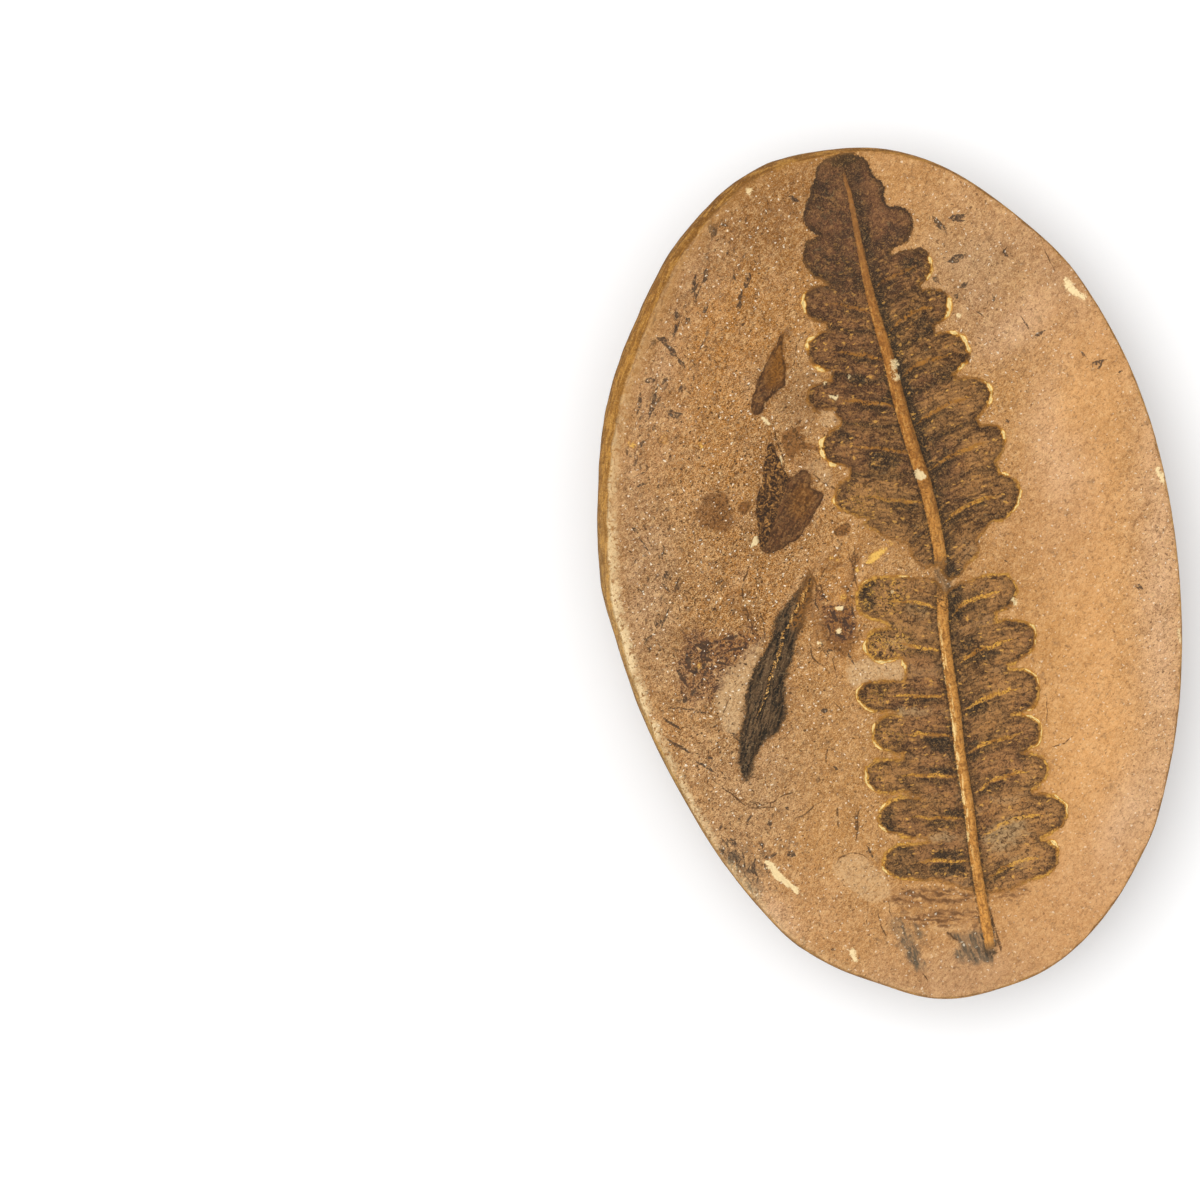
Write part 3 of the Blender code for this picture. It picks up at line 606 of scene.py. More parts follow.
        (0.9, 0.3, 627, 443, 635, 443, 634, 449, 628, 448),
        (0.9, 0.2, 700, 442, 704, 446, 702, 451, 699, 446),
        (0.5, 0.4, 658, 436, 668, 433, 669, 443, 660, 445),
        (0.75, 0.3, 698, 661, 703, 664, 700, 669, 696, 665),
        (1.0, 0.3, 864, 563, 868, 555, 876, 550, 885, 548, 887, 552, 879, 558, 870, 563),
        (0.8, 0.3, 834, 606, 842, 606, 841, 610, 835, 610),
        (0.8, 0.3, 795, 598, 800, 598, 799, 603, 795, 602),
        (0.7, 0.3, 815, 640, 819, 641, 818, 645, 815, 644),
        (0.7, 0.3, 762, 532, 772, 528, 768, 540, 760, 542),
        (0.8, 0.3, 853, 566, 858, 567, 857, 572, 853, 571),
        (0.6, 0.3, 826, 556, 840, 558, 838, 562, 826, 560),
        (0.6, 0.3, 840, 592, 847, 594, 844, 602, 838, 600),
        (0.7, 0.3, 836, 629, 841, 630, 840, 634, 836, 633),
        (0.4, 0.5, 766, 500, 778, 500, 774, 515, 764, 512),
        (0.6, 0.4, 877, 508, 886, 504, 894, 508, 884, 514),
        (0.5, 0.5, 880, 540, 894, 540, 900, 548, 888, 548),
    ),
}
print({kind: len(patches) for kind, patches in PATCHES.items()})

# %% Gold, litter and the stone's tones
GOLD_SPOTS = (      # where iron bloomed brightest on the leaflets' margins: x, y, reach
    (804, 305, 6), (811, 341, 5), (808, 346, 4), (820, 368, 4), (833, 396, 5), (820, 443, 5),
    (821, 455, 5), (831, 467, 4), (862, 476, 3), (872, 475, 3), (830, 503, 4), (886, 503, 4),
    (895, 496, 4), (862, 576, 5), (902, 572, 4), (864, 595, 4), (927, 262, 4), (928, 272, 5),
    (947, 305, 5), (945, 314, 4), (953, 334, 4), (962, 340, 5), (966, 349, 5), (960, 366, 4),
    (988, 389, 4), (989, 400, 4), (1004, 423, 4), (1001, 435, 4), (1006, 473, 4), (1017, 474, 3),
    (1018, 496, 5), (1015, 507, 5), (967, 473, 4), (958, 511, 3), (1032, 628, 4), (1030, 642, 4),
    (1028, 669, 4), (1037, 671, 5), (1040, 680, 4), (1030, 714, 4), (1037, 718, 5), (1040, 728, 5),
    (1034, 740, 5), (1059, 796, 4), (1065, 807, 5), (1055, 842, 5), (864, 647, 5), (881, 661, 5),
    (891, 663, 5), (902, 665, 4), (858, 688, 5), (861, 700, 5), (868, 707, 4), (874, 727, 4),
    (876, 744, 5), (867, 777, 5), (870, 787, 5), (881, 806, 5), (882, 828, 4), (885, 869, 4),
    (879, 745, 4),
)
LITTER = (          # where shreds are strewn: x, y, reach along and across in steps, turn, density
    (650, 560, 150, 34, 95, 1.0), (675, 390, 130, 36, 68, 0.95), (685, 690, 90, 45, 60, 1.0),
    (735, 840, 90, 40, 48, 0.9), (715, 620, 90, 60, 90, 0.7), (820, 760, 70, 60, 0, 0.5),
    (725, 265, 110, 50, 60, 0.6), (1040, 340, 110, 60, 55, 0.4), (880, 930, 60, 30, 0, 0.45),
    (850, 600, 40, 50, 0, 0.7), (960, 250, 60, 40, 30, 0.4),
)
# Where the bare stone is grainiest, written like the litter
GRIT = ((735, 560, 430, 150, 84, 1.0), (900, 560, 450, 110, 80, 0.6), (1160, 600, 260, 40, 92, 0.35))
TAN, GOLDEN, UMBER, DRAB, MAUVE, APRICOT, ROSY, FAWN, HONEY, SAND, BUFF = (
    "#BC864A", "#BF7C2E", "#8B571E", "#B9926A", "#B2865E", "#D9A064", "#E0B288", "#C69260",
    "#C18C57", "#CA9A69", "#D8AD85")
TONES = (           # broad patches of the split face: colour, x, y, reach along and across, turn
    (GOLDEN, 700, 400, 190, 80, 62), (UMBER, 745, 235, 120, 55, 48), (GOLDEN, 760, 560, 60, 190, 0),
    (DRAB, 640, 600, 190, 45, 95), (DRAB, 720, 840, 150, 45, 50), (GOLDEN, 740, 605, 50, 40, 0),
    (FAWN, 810, 910, 90, 50, -20), (TAN, 850, 720, 200, 60, 90), (FAWN, 1010, 230, 110, 50, -35),
    (FAWN, 1070, 330, 90, 50, -50), (APRICOT, 1095, 560, 230, 42, 88), (APRICOT, 1100, 760, 120, 45, 80),
    (ROSY, 1160, 600, 220, 24, 92), (FAWN, 1080, 900, 110, 60, 45), (MAUVE, 965, 968, 90, 34, 0),
    (BUFF, 1130, 815, 60, 26, 65), (FAWN, 1055, 510, 40, 60, 0),
    (HONEY, 1035, 525, 60, 60, 0), (DRAB, 975, 270, 60, 60, 0), (GOLDEN, 660, 760, 50, 90, 20),
    (MAUVE, 655, 385, 70, 32, 70), (MAUVE, 640, 560, 110, 26, 92), (MAUVE, 690, 270, 70, 26, 55),
    (UMBER, 792, 400, 45, 26, 90), (MAUVE, 930, 986, 80, 18, 0), (UMBER, 752, 455, 26, 14, 90),
    (UMBER, 777, 216, 72, 46, 60), (GOLDEN, 722, 330, 60, 30, 62), (GOLDEN, 712, 455, 50, 40, 0),
    (MAUVE, 1055, 275, 60, 22, -48), (ROSY, 1010, 330, 40, 22, 40), (ROSY, 1055, 440, 26, 60, 10),
    (APRICOT, 1075, 400, 50, 22, 70), (MAUVE, 985, 310, 26, 40, 20), (FAWN, 654, 450, 34, 30, 0),
    (SAND, 718, 768, 50, 50, 0), (ROSY, 774, 912, 34, 13, -42), (GOLDEN, 836, 602, 24, 60, 0),
)
RIND_TONES = (      # colours of the skin by direction, in degrees from the right, counter-clockwise
    (0, "#CDA26E"), (30, "#BE8F54"), (60, "#9C6F3C"), (105, "#7E5018"), (120, "#9C692B"),
    (136, "#A87430"), (155, "#AC7C3C"), (185, "#B8925B"), (215, "#A8844E"), (240, "#A27848"),
    (290, "#9B7248"), (335, "#B48B5C"), (360, "#CDA26E"),
)
STEM_CORE = (       # the golden thread in the loose stem
    810, 576, 801, 600, 792, 618, 784, 632, 779, 650, 774, 670, 768, 688, 762, 706, 756, 722)
print(len(GOLD_SPOTS), "gold spots,", len(TONES), "tones")

# %% [markdown]
# ## From outlines to numbers on each vertex
# A stroke keeps two numbers: how far to its side a point lies, with a sign, and how wide the stroke
# is there. The sign lets a line much thinner than the mesh stay sharp, because a signed distance
# changes evenly from one vertex to the next. A patch keeps one number from 0 to 1.

# %% Strokes and patches on points
STROKE_REACH = 0.6      # millimetres at which a stroke stops mattering
GOLD_SPREAD = 1.8       # how far gold fades out, in reaches


def near_outline(points, line, reach):
    """The numbers of the points close enough to a line to be worth measuring."""
    low, high = line.min(axis=0) - reach, line.max(axis=0) + reach
    return np.flatnonzero(((points > low) & (points < high)).all(axis=1))


def stroke_marks(points, strokes):
    """For the nearest stroke, the distance to its side and half its width there."""
    gap = np.full(len(points), STROKE_REACH)
    side = np.zeros(len(points))
    room = np.full(len(points), -1.0)
    for width, line in strokes:
        near = near_outline(points, line, STROKE_REACH)
        found, across, along = distance_to_line(points[near], line, closed=False)
        closer = found < gap[near]
        chosen = near[closer]
        gap[chosen] = found[closer]
        side[chosen] = across[closer]
        room[chosen] = 0.5 * width * (1 - np.abs(2 * along[closer] - 1) ** 3)
    return side, room


def patch_marks(points, patches):
    """How strongly the patches of one kind cover each point, from 0 to 1."""
    cover = np.zeros(len(points))
    for strength, softness, *outline in patches:
        line = outline_of(outline)
        near = near_outline(points, line, softness)
        value = strength * smooth_step(0.5 + depth_inside(points[near], line) / (2 * softness))
        cover[near] = np.maximum(cover[near], value)
    return cover


def soft_patch(points, x, y, along, across, turn):
    """A round or oval patch that fades out from its middle."""
    offset = (points - plan_points([(x, y)])) / PLAN_STEP
    angle = math.radians(turn) - PLAN_TURN
    u = offset @ (math.cos(angle), math.sin(angle)) / along
    v = offset @ (-math.sin(angle), math.cos(angle)) / across
    return np.exp(-(u * u + v * v))


on_grid = [[(width * PLAN_STEP, plan_points(places)) for width, *places in strokes]
           for strokes in (SHREDS, THREADS)]
print("strokes thinner than", STROKE_REACH, "mm stay sharp")

# %% [markdown]
# ## The height of the face
# A split follows the bedding, so the face is nearly flat, with gentle waves and a rough grain. The
# frond stands a quarter of a millimetre above it, its rib over half a millimetre. The heights are
# those of the solid model, with finer roughness laid on top.

# %% Relief sizes, in millimetres
FACE_CROWN = 0.5
FACE_WAVES = 0.14
RIB_HEIGHT = 0.65
RIB_PROFILE = (         # places along the rib and its height there; it is broken near the middle
    (0.0, 0.12, 0.45, 0.5, 0.53, 0.56, 0.95, 1.0), (0.25, 0.6, 0.9, 0.3, 0.1, 0.8, 1.0, 0.2))
LEAFLET_RISE = 0.24
LEAFLET_EDGE = 0.45
VEIN_RISE = 0.12
VEIN_HALF_WIDTH = 0.45
SCRAP_RISE = 0.2
STEM_RISE = 0.45
SCAR_DEPTH = 0.25
HOLLOW = ((800, 440), 62.0, 0.3)        # middle and reach on the grid, then its depth
GOLD_RISE = 0.1
VEIN_WIDTHS = (0.46, 0.56)      # of the golden midveins on the left and on the right
CORE_WIDTH = 0.42
WAVER = ((1.3, 0.26), (3.5, 0.4))       # size of the noise in an outline and how far it moves it
# Roughness of the split: size of a feature and its height
ROUGHNESS = ((9.0, 0.10), (3.2, 0.07), (1.2, 0.045), (0.6, 0.03))
SCAR = (
    765, 859, 775, 866, 787, 874, 803, 892, 799, 896, 784, 884, 770, 872)

flaked_lines = [plan_points(patch) for patch in FLAKED_PATCHES]
scrap_lines = [outline_of(scrap) for scrap in LEAF_SCRAPS]
stem_line = outline_of(LOOSE_STEM)
scar_line = plan_points(SCAR)
vein_strokes = [(VEIN_WIDTHS[0], line[1:9]) for line in vein_lines[:len(LEFT_LEAFLETS)]]
vein_strokes += [(VEIN_WIDTHS[1], line[2:10]) for line in vein_lines[len(LEFT_LEAFLETS):]]
core_strokes = [(CORE_WIDTH, plan_points(STEM_CORE))]
print("roughest feature:", ROUGHNESS[0][0], "mm wide")

# %% Distances that the relief and the colours share
def wavered(points):
    """Points moved a little by noise, so that an outline measured from them is irregular."""
    moved = points
    for size, reach in WAVER:
        shift = [[noise.noise(Vector((x / size, y / size, 5 * axis))) for axis in (1, 2)]
                 for x, y in points]
        moved = moved + reach * np.array(shift)
    return moved


def frond_marks(points, moved):
    """The film's depth, the seams between leaflets, the rib and the nearest midvein."""
    leaves = np.array([depth_inside(moved, outline) for outline in leaflet_lines])
    order = np.argsort(leaves, axis=0)
    rows = np.arange(len(points))
    first, second = order[-1], order[-2]
    seam = leaves[np.minimum(first, second), rows] - leaves[np.maximum(first, second), rows]
    tongue = leaves[first, rows]
    film = np.maximum(tongue, deepest(moved, other_film_lines))
    for patch in flaked_lines:
        film = np.minimum(film, -depth_inside(moved, patch))
    gap, side, along = distance_to_line(points, rib_line, closed=False)
    veins = [distance_to_line(points, line[1:], False) for line in vein_lines]
    nearest = np.argmin([vein[0] for vein in veins], axis=0)
    vein_gap, vein_side, vein_along = np.array(veins)[nearest, :, rows].T
    below = np.where(nearest < len(LEFT_LEAFLETS), vein_side, -vein_side)
    half = np.interp(along, RIB_PLACES, RIB_HALVES)
    return {"film": film, "tongue": tongue, "seam": seam, "rib": half - gap, "rib_side": side,
            "rib_along": along, "vein": vein_gap, "vein_below": below, "vein_along": vein_along,
            "leaf": nearest.astype(float), "shade": np.array(LEAFLET_SHADES)[nearest]}


def face_marks(points):
    """Every number that is kept on the face's vertices, by name."""
    moved = wavered(points)
    marks = frond_marks(points, moved)
    marks["scrap"] = deepest(moved, scrap_lines)
    marks["stem"] = depth_inside(moved, stem_line)
    marks["scar"] = depth_inside(points, scar_line)
    strokes = {"shred": on_grid[0], "thread": on_grid[1], "midvein": vein_strokes, "core": core_strokes}
    for name, lines in strokes.items():
        marks[name + "_side"], marks[name + "_room"] = stroke_marks(moved, lines)
    for kind, patches in PATCHES.items():
        marks[kind] = patch_marks(moved, patches)
    marks["gold"] = np.max([soft_patch(points, x, y, GOLD_SPREAD * reach, GOLD_SPREAD * reach, 0)
                            for x, y, reach in GOLD_SPOTS], axis=0)
    marks["band"] = band_share(angle_of(points))
    marks["pale_rim"] = pale_share(angle_of(points))
    for name, zones in (("litter", LITTER), ("grit", GRIT)):
        marks[name] = np.max([share * soft_patch(points, *place) for *place, share in zones], axis=0)
    return marks


print("marks kept:", sorted(face_marks(probe)))

# %% Height of the face
def rough(points, features):
    """Rough ground: the sum of a few sizes of noise."""
    total = np.zeros(len(points))
    for size, height in features:
        total += height * np.array([noise.noise(Vector((x / size, y / size, size))) for x, y in points])
    return total


def bedding_waves(points):
    """The gentle waves that the split follows."""
    x, y = points.T
    return FACE_WAVES * (np.sin(x / 9.0 + 0.6) * np.sin(y / 13.0 - 0.4) + 0.6 * np.sin((x - y) / 7.0))


def face_height(points, marks):
    """The split face's height over the resting facet, in millimetres."""
    share = np.hypot(*points.T) / rim_radius(angle_of(points))
    level = THICKNESS - FACE_CROWN * share ** 2
    level += bedding_waves(points)
    middle, reach, depth = HOLLOW
    level -= depth * np.exp(-(np.hypot(*(points - plan_points([middle])).T) / (reach * PLAN_STEP)) ** 2)
    level += LEAFLET_RISE * smooth_step(marks["film"] / LEAFLET_EDGE)
    level += VEIN_RISE * smooth_step(1 - marks["vein"] / VEIN_HALF_WIDTH) * (marks["film"] > 0)
    half = np.interp(marks["rib_along"], RIB_PLACES, RIB_HALVES)
    height = np.interp(marks["rib_along"], *RIB_PROFILE)
    level += RIB_HEIGHT * height * np.sqrt(np.clip(1 - (1 - marks["rib"] / half) ** 2, 0, 1))
    level += SCRAP_RISE * smooth_step(marks["scrap"] / LEAFLET_EDGE)
    level += STEM_RISE * smooth_step(marks["stem"] / (3 * LEAFLET_EDGE))
    level -= SCAR_DEPTH * smooth_step(marks["scar"] / LEAFLET_EDGE)
    level += GOLD_RISE * marks["gold"]
    return level + rough(points, ROUGHNESS)


print("face height at the middle, mm:", round(float(face_height(probe, face_marks(probe))[0]), 2))

# %% [markdown]
# ## The stone's mesh
# The face is a honeycomb of points, finer on the plants than on the bare stone, joined by a
# Delaunay triangulation. Rings of points carry the skin round the side, and a coarser honeycomb
# closes the back. All share their border points, so the stone is one closed mesh.

# %% Mesh sizes, in millimetres
RIM_COUNT = 600
FINE_STEP = 0.29
PLAIN_STEP = 0.42
BACK_STEP = 1.2
FACET_SHARE = 0.45      # of the rim's radius, where the resting facet starts
SKIN_LUMPS = 0.35
BACK_SHARE = 0.86       # of the rim's radius, where the rings give way to the back's honeycomb
ROW_STEP = 0.866        # height of a row of a honeycomb, in steps
BAND_RINGS = 5
BACK_RINGS = 11
FINE_ZONE = ((0.0, 0.1, 0.45, 1.0), (9.0, 11.0, 15.0, 17.5))    # places along the rib, reach from it
SKIN_FLATNESS = 2.5     # how much flatter than round the skin's lumps are pushed
SKIN_MIDDLE = 14.0
SKIN_FADE = (1.2, 2.0)  # how far below the face the lumps start, and over what height they grow
SKIN_ROUGHNESS = ((14.0, 0.25), (5.0, 0.14), (1.8, 0.06))

angles = np.linspace(0.0, 2 * math.pi, RIM_COUNT, endpoint=False)
last_turn = math.acos(FACET_SHARE)


def on_ring(angle, radius):
    """Points at a distance from the middle, in millimetres."""
    return np.stack([np.cos(angle), np.sin(angle)], axis=1) * np.asarray(radius)[:, None]


def honeycomb(step):
    """A honeycomb of points that covers the plate."""
    columns = np.arange(int(WIDTH / step) + 8)
    rows = np.arange(int(LENGTH / (step * ROW_STEP)) + 8)
    x = (columns[None, :] + 0.5 * (rows[:, None] % 2) - len(columns) / 2) * step
    y = np.broadcast_to((rows[:, None] - len(rows) / 2) * step * ROW_STEP, x.shape)
    return np.stack([x.ravel(), y.ravel()], axis=1)


def filled(rim, inner):
    """Triangulates a rim and the points inside it. Gives the points, rim first, and the triangles."""
    edges = [(i, (i + 1) % len(rim)) for i in range(len(rim))]
    flat = [Vector(point) for point in np.vstack([rim, inner])]
    made, _, triangles, _, _, _ = delaunay_2d_cdt(flat, edges, [list(range(len(rim)))], 1, 1e-6)
    return np.array([tuple(point) for point in made]), triangles


def well_inside(points, radius_at, gap):
    """The points that keep a gap to the rim."""
    return points[np.hypot(*points.T) < radius_at(angle_of(points)) - gap]


def face_radius(angle):
    """How far the split face reaches: the rim less the skin's band, with a chipped edge."""
    wobble = 0.07 * np.sin(41 * angle + 2 * np.sin(7 * angle)) + 0.05 * np.sin(97 * angle + 1.0)
    return rim_radius(angle) - BAND_NARROW - BAND_EXTRA * band_share(angle) + wobble


print("rim points every", round(320 / RIM_COUNT, 2), "mm")

# %% Face points
edge = on_ring(angles, face_radius(angles))
fine = well_inside(honeycomb(FINE_STEP), face_radius, 0.6 * PLAIN_STEP)
plain = well_inside(honeycomb(PLAIN_STEP), face_radius, 0.6 * PLAIN_STEP)


def near_plants(points):
    """How far inside the finely meshed zone each point lies."""
    distance, _, along = distance_to_line(points, rib_line, closed=False)
    zone = np.interp(along, *FINE_ZONE) - distance
    return np.maximum(zone, deepest(points, scrap_lines + [stem_line]) + 1.0)


fine = fine[near_plants(fine) > 0]
plain = plain[near_plants(plain) < -0.25]
face_plan, face_triangles = filled(edge, np.vstack([fine, plain]))
marks = face_marks(face_plan)
face_points = np.column_stack([face_plan, face_height(face_plan, marks)])
for name in ("scar", "vein"):       # these two only shape the face
    del marks[name]
print(len(face_points), "points and", len(face_triangles), "triangles on the face")

# %% Skin and back
def widest_height(angle):
    """Height of the widest section, under the face's edge."""
    waves = bedding_waves(on_ring(angle, face_radius(angle)))
    return THICKNESS - FACE_CROWN + waves - BAND_DROP[0] - BAND_DROP[1] * band_share(angle)


def back_point(angle, turn):
    """The domed back: turn 0 is the widest section, and the last turn is the resting facet's edge."""
    fade = np.sin(math.pi * np.clip(turn / last_turn, 0, 1))
    lumps = np.sin(3 * angle + 1.0 + 2 * turn) + np.sin(5 * angle - 4 * turn)
    reach = rim_radius(angle) * np.cos(turn) + SKIN_LUMPS * fade * lumps
    height = widest_height(angle) * (1 - np.sin(turn) / math.sin(last_turn))
    return np.column_stack([on_ring(angle, reach), height])


def skin_rings():
    """Rings from just under the face's edge to the border of the back."""
    rings = []
    edge_height = face_points[:RIM_COUNT, 2]
    for part in np.linspace(0.0, 1.0, BAND_RINGS + 2)[1:-1]:
        curve = math.sin(part * math.pi / 2)
        reach = face_radius(angles) * (1 - curve) + rim_radius(angles) * curve
        drop = part ** 1.5
        height = edge_height * (1 - drop) + widest_height(angles) * drop
        rings.append(np.column_stack([on_ring(angles, reach), height]))
    for turn in np.linspace(0.0, math.acos(BACK_SHARE), BACK_RINGS):
        rings.append(back_point(angles, np.full(RIM_COUNT, turn)))
    return rings


rings = skin_rings()
back_rim = on_ring(angles, rim_radius(angles) * BACK_SHARE)
back_inner = well_inside(honeycomb(BACK_STEP), lambda angle: rim_radius(angle) * BACK_SHARE, 0.6)
back_plan, back_triangles = filled(back_rim, back_inner)
back_angle = angle_of(back_plan)
back_share = np.hypot(*back_plan.T) / rim_radius(back_angle)
back_points = back_point(back_angle, np.arccos(np.clip(back_share, 0.0, 1.0)))
print(len(rings), "rings and", len(back_triangles), "triangles on the back")

# %% Join the parts
ring_points = np.vstack(rings[:-1])
skin_points = np.vstack([ring_points, back_points])
skin_rough = np.zeros(len(skin_points))
for size, height in SKIN_ROUGHNESS:
    skin_rough += height * np.array([noise.noise(Vector(point) / size) for point in skin_points])
outward = skin_points * (1.0, 1.0, SKIN_FLATNESS) - (0.0, 0.0, SKIN_FLATNESS * SKIN_MIDDLE)
outward /= np.linalg.norm(outward, axis=1)[:, None]
fade_in = smooth_step((THICKNESS - SKIN_FADE[0] - skin_points[:, 2]) / SKIN_FADE[1])
skin_points += outward * (skin_rough * fade_in)[:, None]
skin_points[:, 2] = np.maximum(skin_points[:, 2], 0.0)
stone_points = np.vstack([face_points, skin_points])


def ring_start(row):
    """The first vertex of a ring; row 0 is the face's edge."""
    return 0 if row == 0 else len(face_points) + (row - 1) * RIM_COUNT


faces = [tuple(triangle) for triangle in face_triangles]
for row in range(len(rings)):
    above, below = ring_start(row), ring_start(row + 1)
    for i in range(RIM_COUNT):
        j = (i + 1) % RIM_COUNT
        faces.append((above + i, below + i, below + j, above + j))
back_start = ring_start(len(rings))
faces += [tuple(back_start + corner for corner in triangle[::-1]) for triangle in back_triangles]

middle = (stone_points.min(axis=0) + stone_points.max(axis=0)) / 2
solid_middle = [(low + high) / 2 / MM for low, high in zip(*cad_box)]
shift = np.array(solid_middle[:2]) - middle[:2]
stone_points[:, :2] += shift
camera.location.x += shift[0] * MM
camera.location.y += shift[1] * MM
print("moved by", shift.round(2), "mm to lie where the solid lies; the camera follows")
mesh = bpy.data.meshes.new("fern_stone")
mesh.from_pydata((stone_points * MM).tolist(), [], faces)
mesh.shade_smooth()
stone_object = add_object("fern_stone", mesh)
print("stone:", len(mesh.vertices), "vertices,", len(faces), "faces")

# %% [markdown]
# ## Marks and colours on the vertices
# Each mark becomes one number a vertex, which the shader can read by name. The stone's broad
# colour is kept there too. It changes over centimetres, so soft patches laid over one another are
# enough for the face, and a colour for each direction is enough for the skin.

# %% Keep the marks on the vertices
TONE_STRENGTH = 0.85


def linear(hex_colour):
    """An sRGB hex colour as linear red, green, blue and alpha."""
    parts = [int(hex_colour[i:i + 2], 16) / 255 for i in (1, 3, 5)]
    return tuple(p / 12.92 if p <= 0.04045 else ((p + 0.055) / 1.055) ** 2.4 for p in parts) + (1.0,)


def keep_mark(name, on_face, on_skin):
    """Stores one number a vertex, for the face and for the skin."""
    values = np.empty(len(mesh.vertices), np.float32)
    values[:len(face_points)] = on_face
    values[len(face_points):] = on_skin
    mesh.attributes.new(name, "FLOAT", "POINT").data.foreach_set("value", values)


def stone_tone(points):
    """The split face's broad colour: soft patches laid over one another."""
    colour = np.tile(linear(TAN), (len(points), 1))
    for name, *place in TONES:
        amount = TONE_STRENGTH * soft_patch(points, *place)[:, None]
        colour = colour * (1 - amount) + np.array(linear(name)) * amount
    return colour


def rind_tone(points):
    """The skin's colour by direction."""
    degrees = np.degrees(angle_of(points)) % 360.0
    stops = [stop for stop, _ in RIND_TONES]
    colours = np.array([linear(name) for _, name in RIND_TONES])
    return np.column_stack([np.interp(degrees, stops, colours[:, i]) for i in range(4)])


FAR_OUTSIDE = -9.0      # the depth of the skin in every outline of the face
ON_SKIN = {"gold": 0.0, "litter": 0.3, "grit": 0.7, "rib_along": 1.0, "vein_along": 1.0, "leaf": 0.0,
           "shade": 0.5}
ON_SKIN.update({kind: 0.0 for kind in PATCHES})
skin_angle = angle_of(skin_points)
ON_SKIN["band"] = band_share(skin_angle)
ON_SKIN["pale_rim"] = pale_share(skin_angle)
for name, values in marks.items():
    keep_mark(name, values, ON_SKIN.get(name, FAR_OUTSIDE))
skin_reach = np.hypot(np.hypot(*skin_points[:, :2].T) - face_radius(skin_angle),
                      THICKNESS - skin_points[:, 2])
keep_mark("skin", np.hypot(*face_plan.T) - face_radius(angle_of(face_plan)), np.maximum(skin_reach, 0.05))
whole_band = np.hypot(rim_radius(skin_angle) - face_radius(skin_angle),
                      THICKNESS - widest_height(skin_angle))
keep_mark("down", 0.0, skin_reach / whole_band)
tones = np.vstack([stone_tone(face_plan), rind_tone(skin_points)])
mesh.attributes.new("tone", "FLOAT_COLOR", "POINT").data.foreach_set("color", tones.ravel())
print("kept", len(mesh.attributes), "attributes")

# %% [markdown]
# ## A flat map of the stone
# Tools that read a stone like this from a file want its colours on a flat map. The face is laid
# flat on the left, because it carries all the detail. The skin and the back share a strip on the
# right, spread round the middle of the back like a polar map of the world.

# %% Flat map
FACE_SCALE = 0.6 / WIDTH
BACK_SCALE = 0.36 / 100.0
FACE_MIDDLE = (0.31, 0.5)
BACK_MIDDLE = (0.81, 0.5)
SIDE_STRETCH = 0.55     # how much of the height counts as distance walked


def polar_map(points):
    """Where the skin's points go: outwards from the middle of the back by the distance walked."""
    reach = np.hypot(points[:, 0], points[:, 1])
    walked = reach + points[:, 2] * SIDE_STRETCH
    return points[:, :2] * (walked / np.maximum(reach, 1e-6))[:, None] * BACK_SCALE + BACK_MIDDLE


face_map = face_plan * FACE_SCALE + FACE_MIDDLE
skin_map = polar_map(np.vstack([face_points[:RIM_COUNT], skin_points]))
corners = np.empty(len(mesh.loops), np.int64)
mesh.loops.foreach_get("vertex_index", corners)
on_face = np.arange(len(corners)) < 3 * len(face_triangles)
flat = np.empty((len(corners), 2))
flat[on_face] = face_map[corners[on_face]]
beyond = corners[~on_face]
flat[~on_face] = skin_map[np.where(beyond < RIM_COUNT, beyond, beyond - len(face_points) + RIM_COUNT)]
mesh.uv_layers.new(name="OFBake").data.foreach_set("uv", flat.ravel())
print("map spans", flat.min(axis=0).round(3), "to", flat.max(axis=0).round(3))

# %% [markdown]
# ## The material
# Split ironstone is a matt, sandy clay rock, so it has a rough surface and hardly any gloss. One
# helper adds a node, sets its properties and its inputs, and gives back the output asked for. The
# others are arithmetic on fields: `weighted` adds them, `times` multiplies them, `mask` turns a
# number into 0 to 1 with an edge that noise makes ragged, and `layered` lays coats of colour.

# %% Shader helpers
ironstone = bpy.data.materials.new("split_ironstone")
ironstone.use_nodes = True
tree = ironstone.node_tree
shader = tree.nodes["Principled BSDF"]


def node(kind, inputs=None, output=None, **settings):
    """Adds a node with its settings and links, and gives one of its outputs.

    A text among the inputs stands for the number kept on the vertices under that name."""
    made = tree.nodes.new(kind)
    for name, value in settings.items():
        setattr(made, name, value)
    for name, value in (inputs or {}).items():
        value = kept[value] if isinstance(value, str) else value
        named = [socket for socket in made.inputs if socket.enabled and socket.name == name]
        socket = made.inputs[name] if isinstance(name, int) else named[0]
        if isinstance(value, bpy.types.NodeSocket):
            tree.links.new(value, socket)
        else:
            socket.default_value = value
    return [socket for socket in made.outputs if socket.enabled and output in (None, socket.name)][0]


def weighted(start, *parts):
    """A number plus some fields, each times its weight."""
    total = start
    for value, weight in parts:
        total = node("ShaderNodeMath", {0: value, 1: weight, 2: total}, operation="MULTIPLY_ADD")
    return total


def mask(value, low, high, ragged=None, amount=0.0):
    """Turns a number into a mask, with a ragged edge if a noise is given."""
    if ragged is not None:
        value = weighted(-0.5 * amount, (ragged, amount), (value, 1.0))
    return node("ShaderNodeMapRange", {"Value": value, "From Min": low, "From Max": high})


def times(*values):
    """Multiplies masks and numbers."""
    product = values[0]
    for value in values[1:]:
        product = node("ShaderNodeMath", {0: product, 1: value}, operation="MULTIPLY")
    return product


def layered(colour, coats):
    """Lays coats over a colour. A coat is its masks and shares, which multiply, and then its colour."""
    for *parts, over in coats:
        over = linear(over) if isinstance(over, str) else over
        inputs = {"Factor": times(*parts), "A": colour, "B": over}
        colour = node("ShaderNodeMix", inputs, data_type="RGBA")
    return colour


print("rust brown as linear:", [round(part, 3) for part in linear("#9D6B3B")])

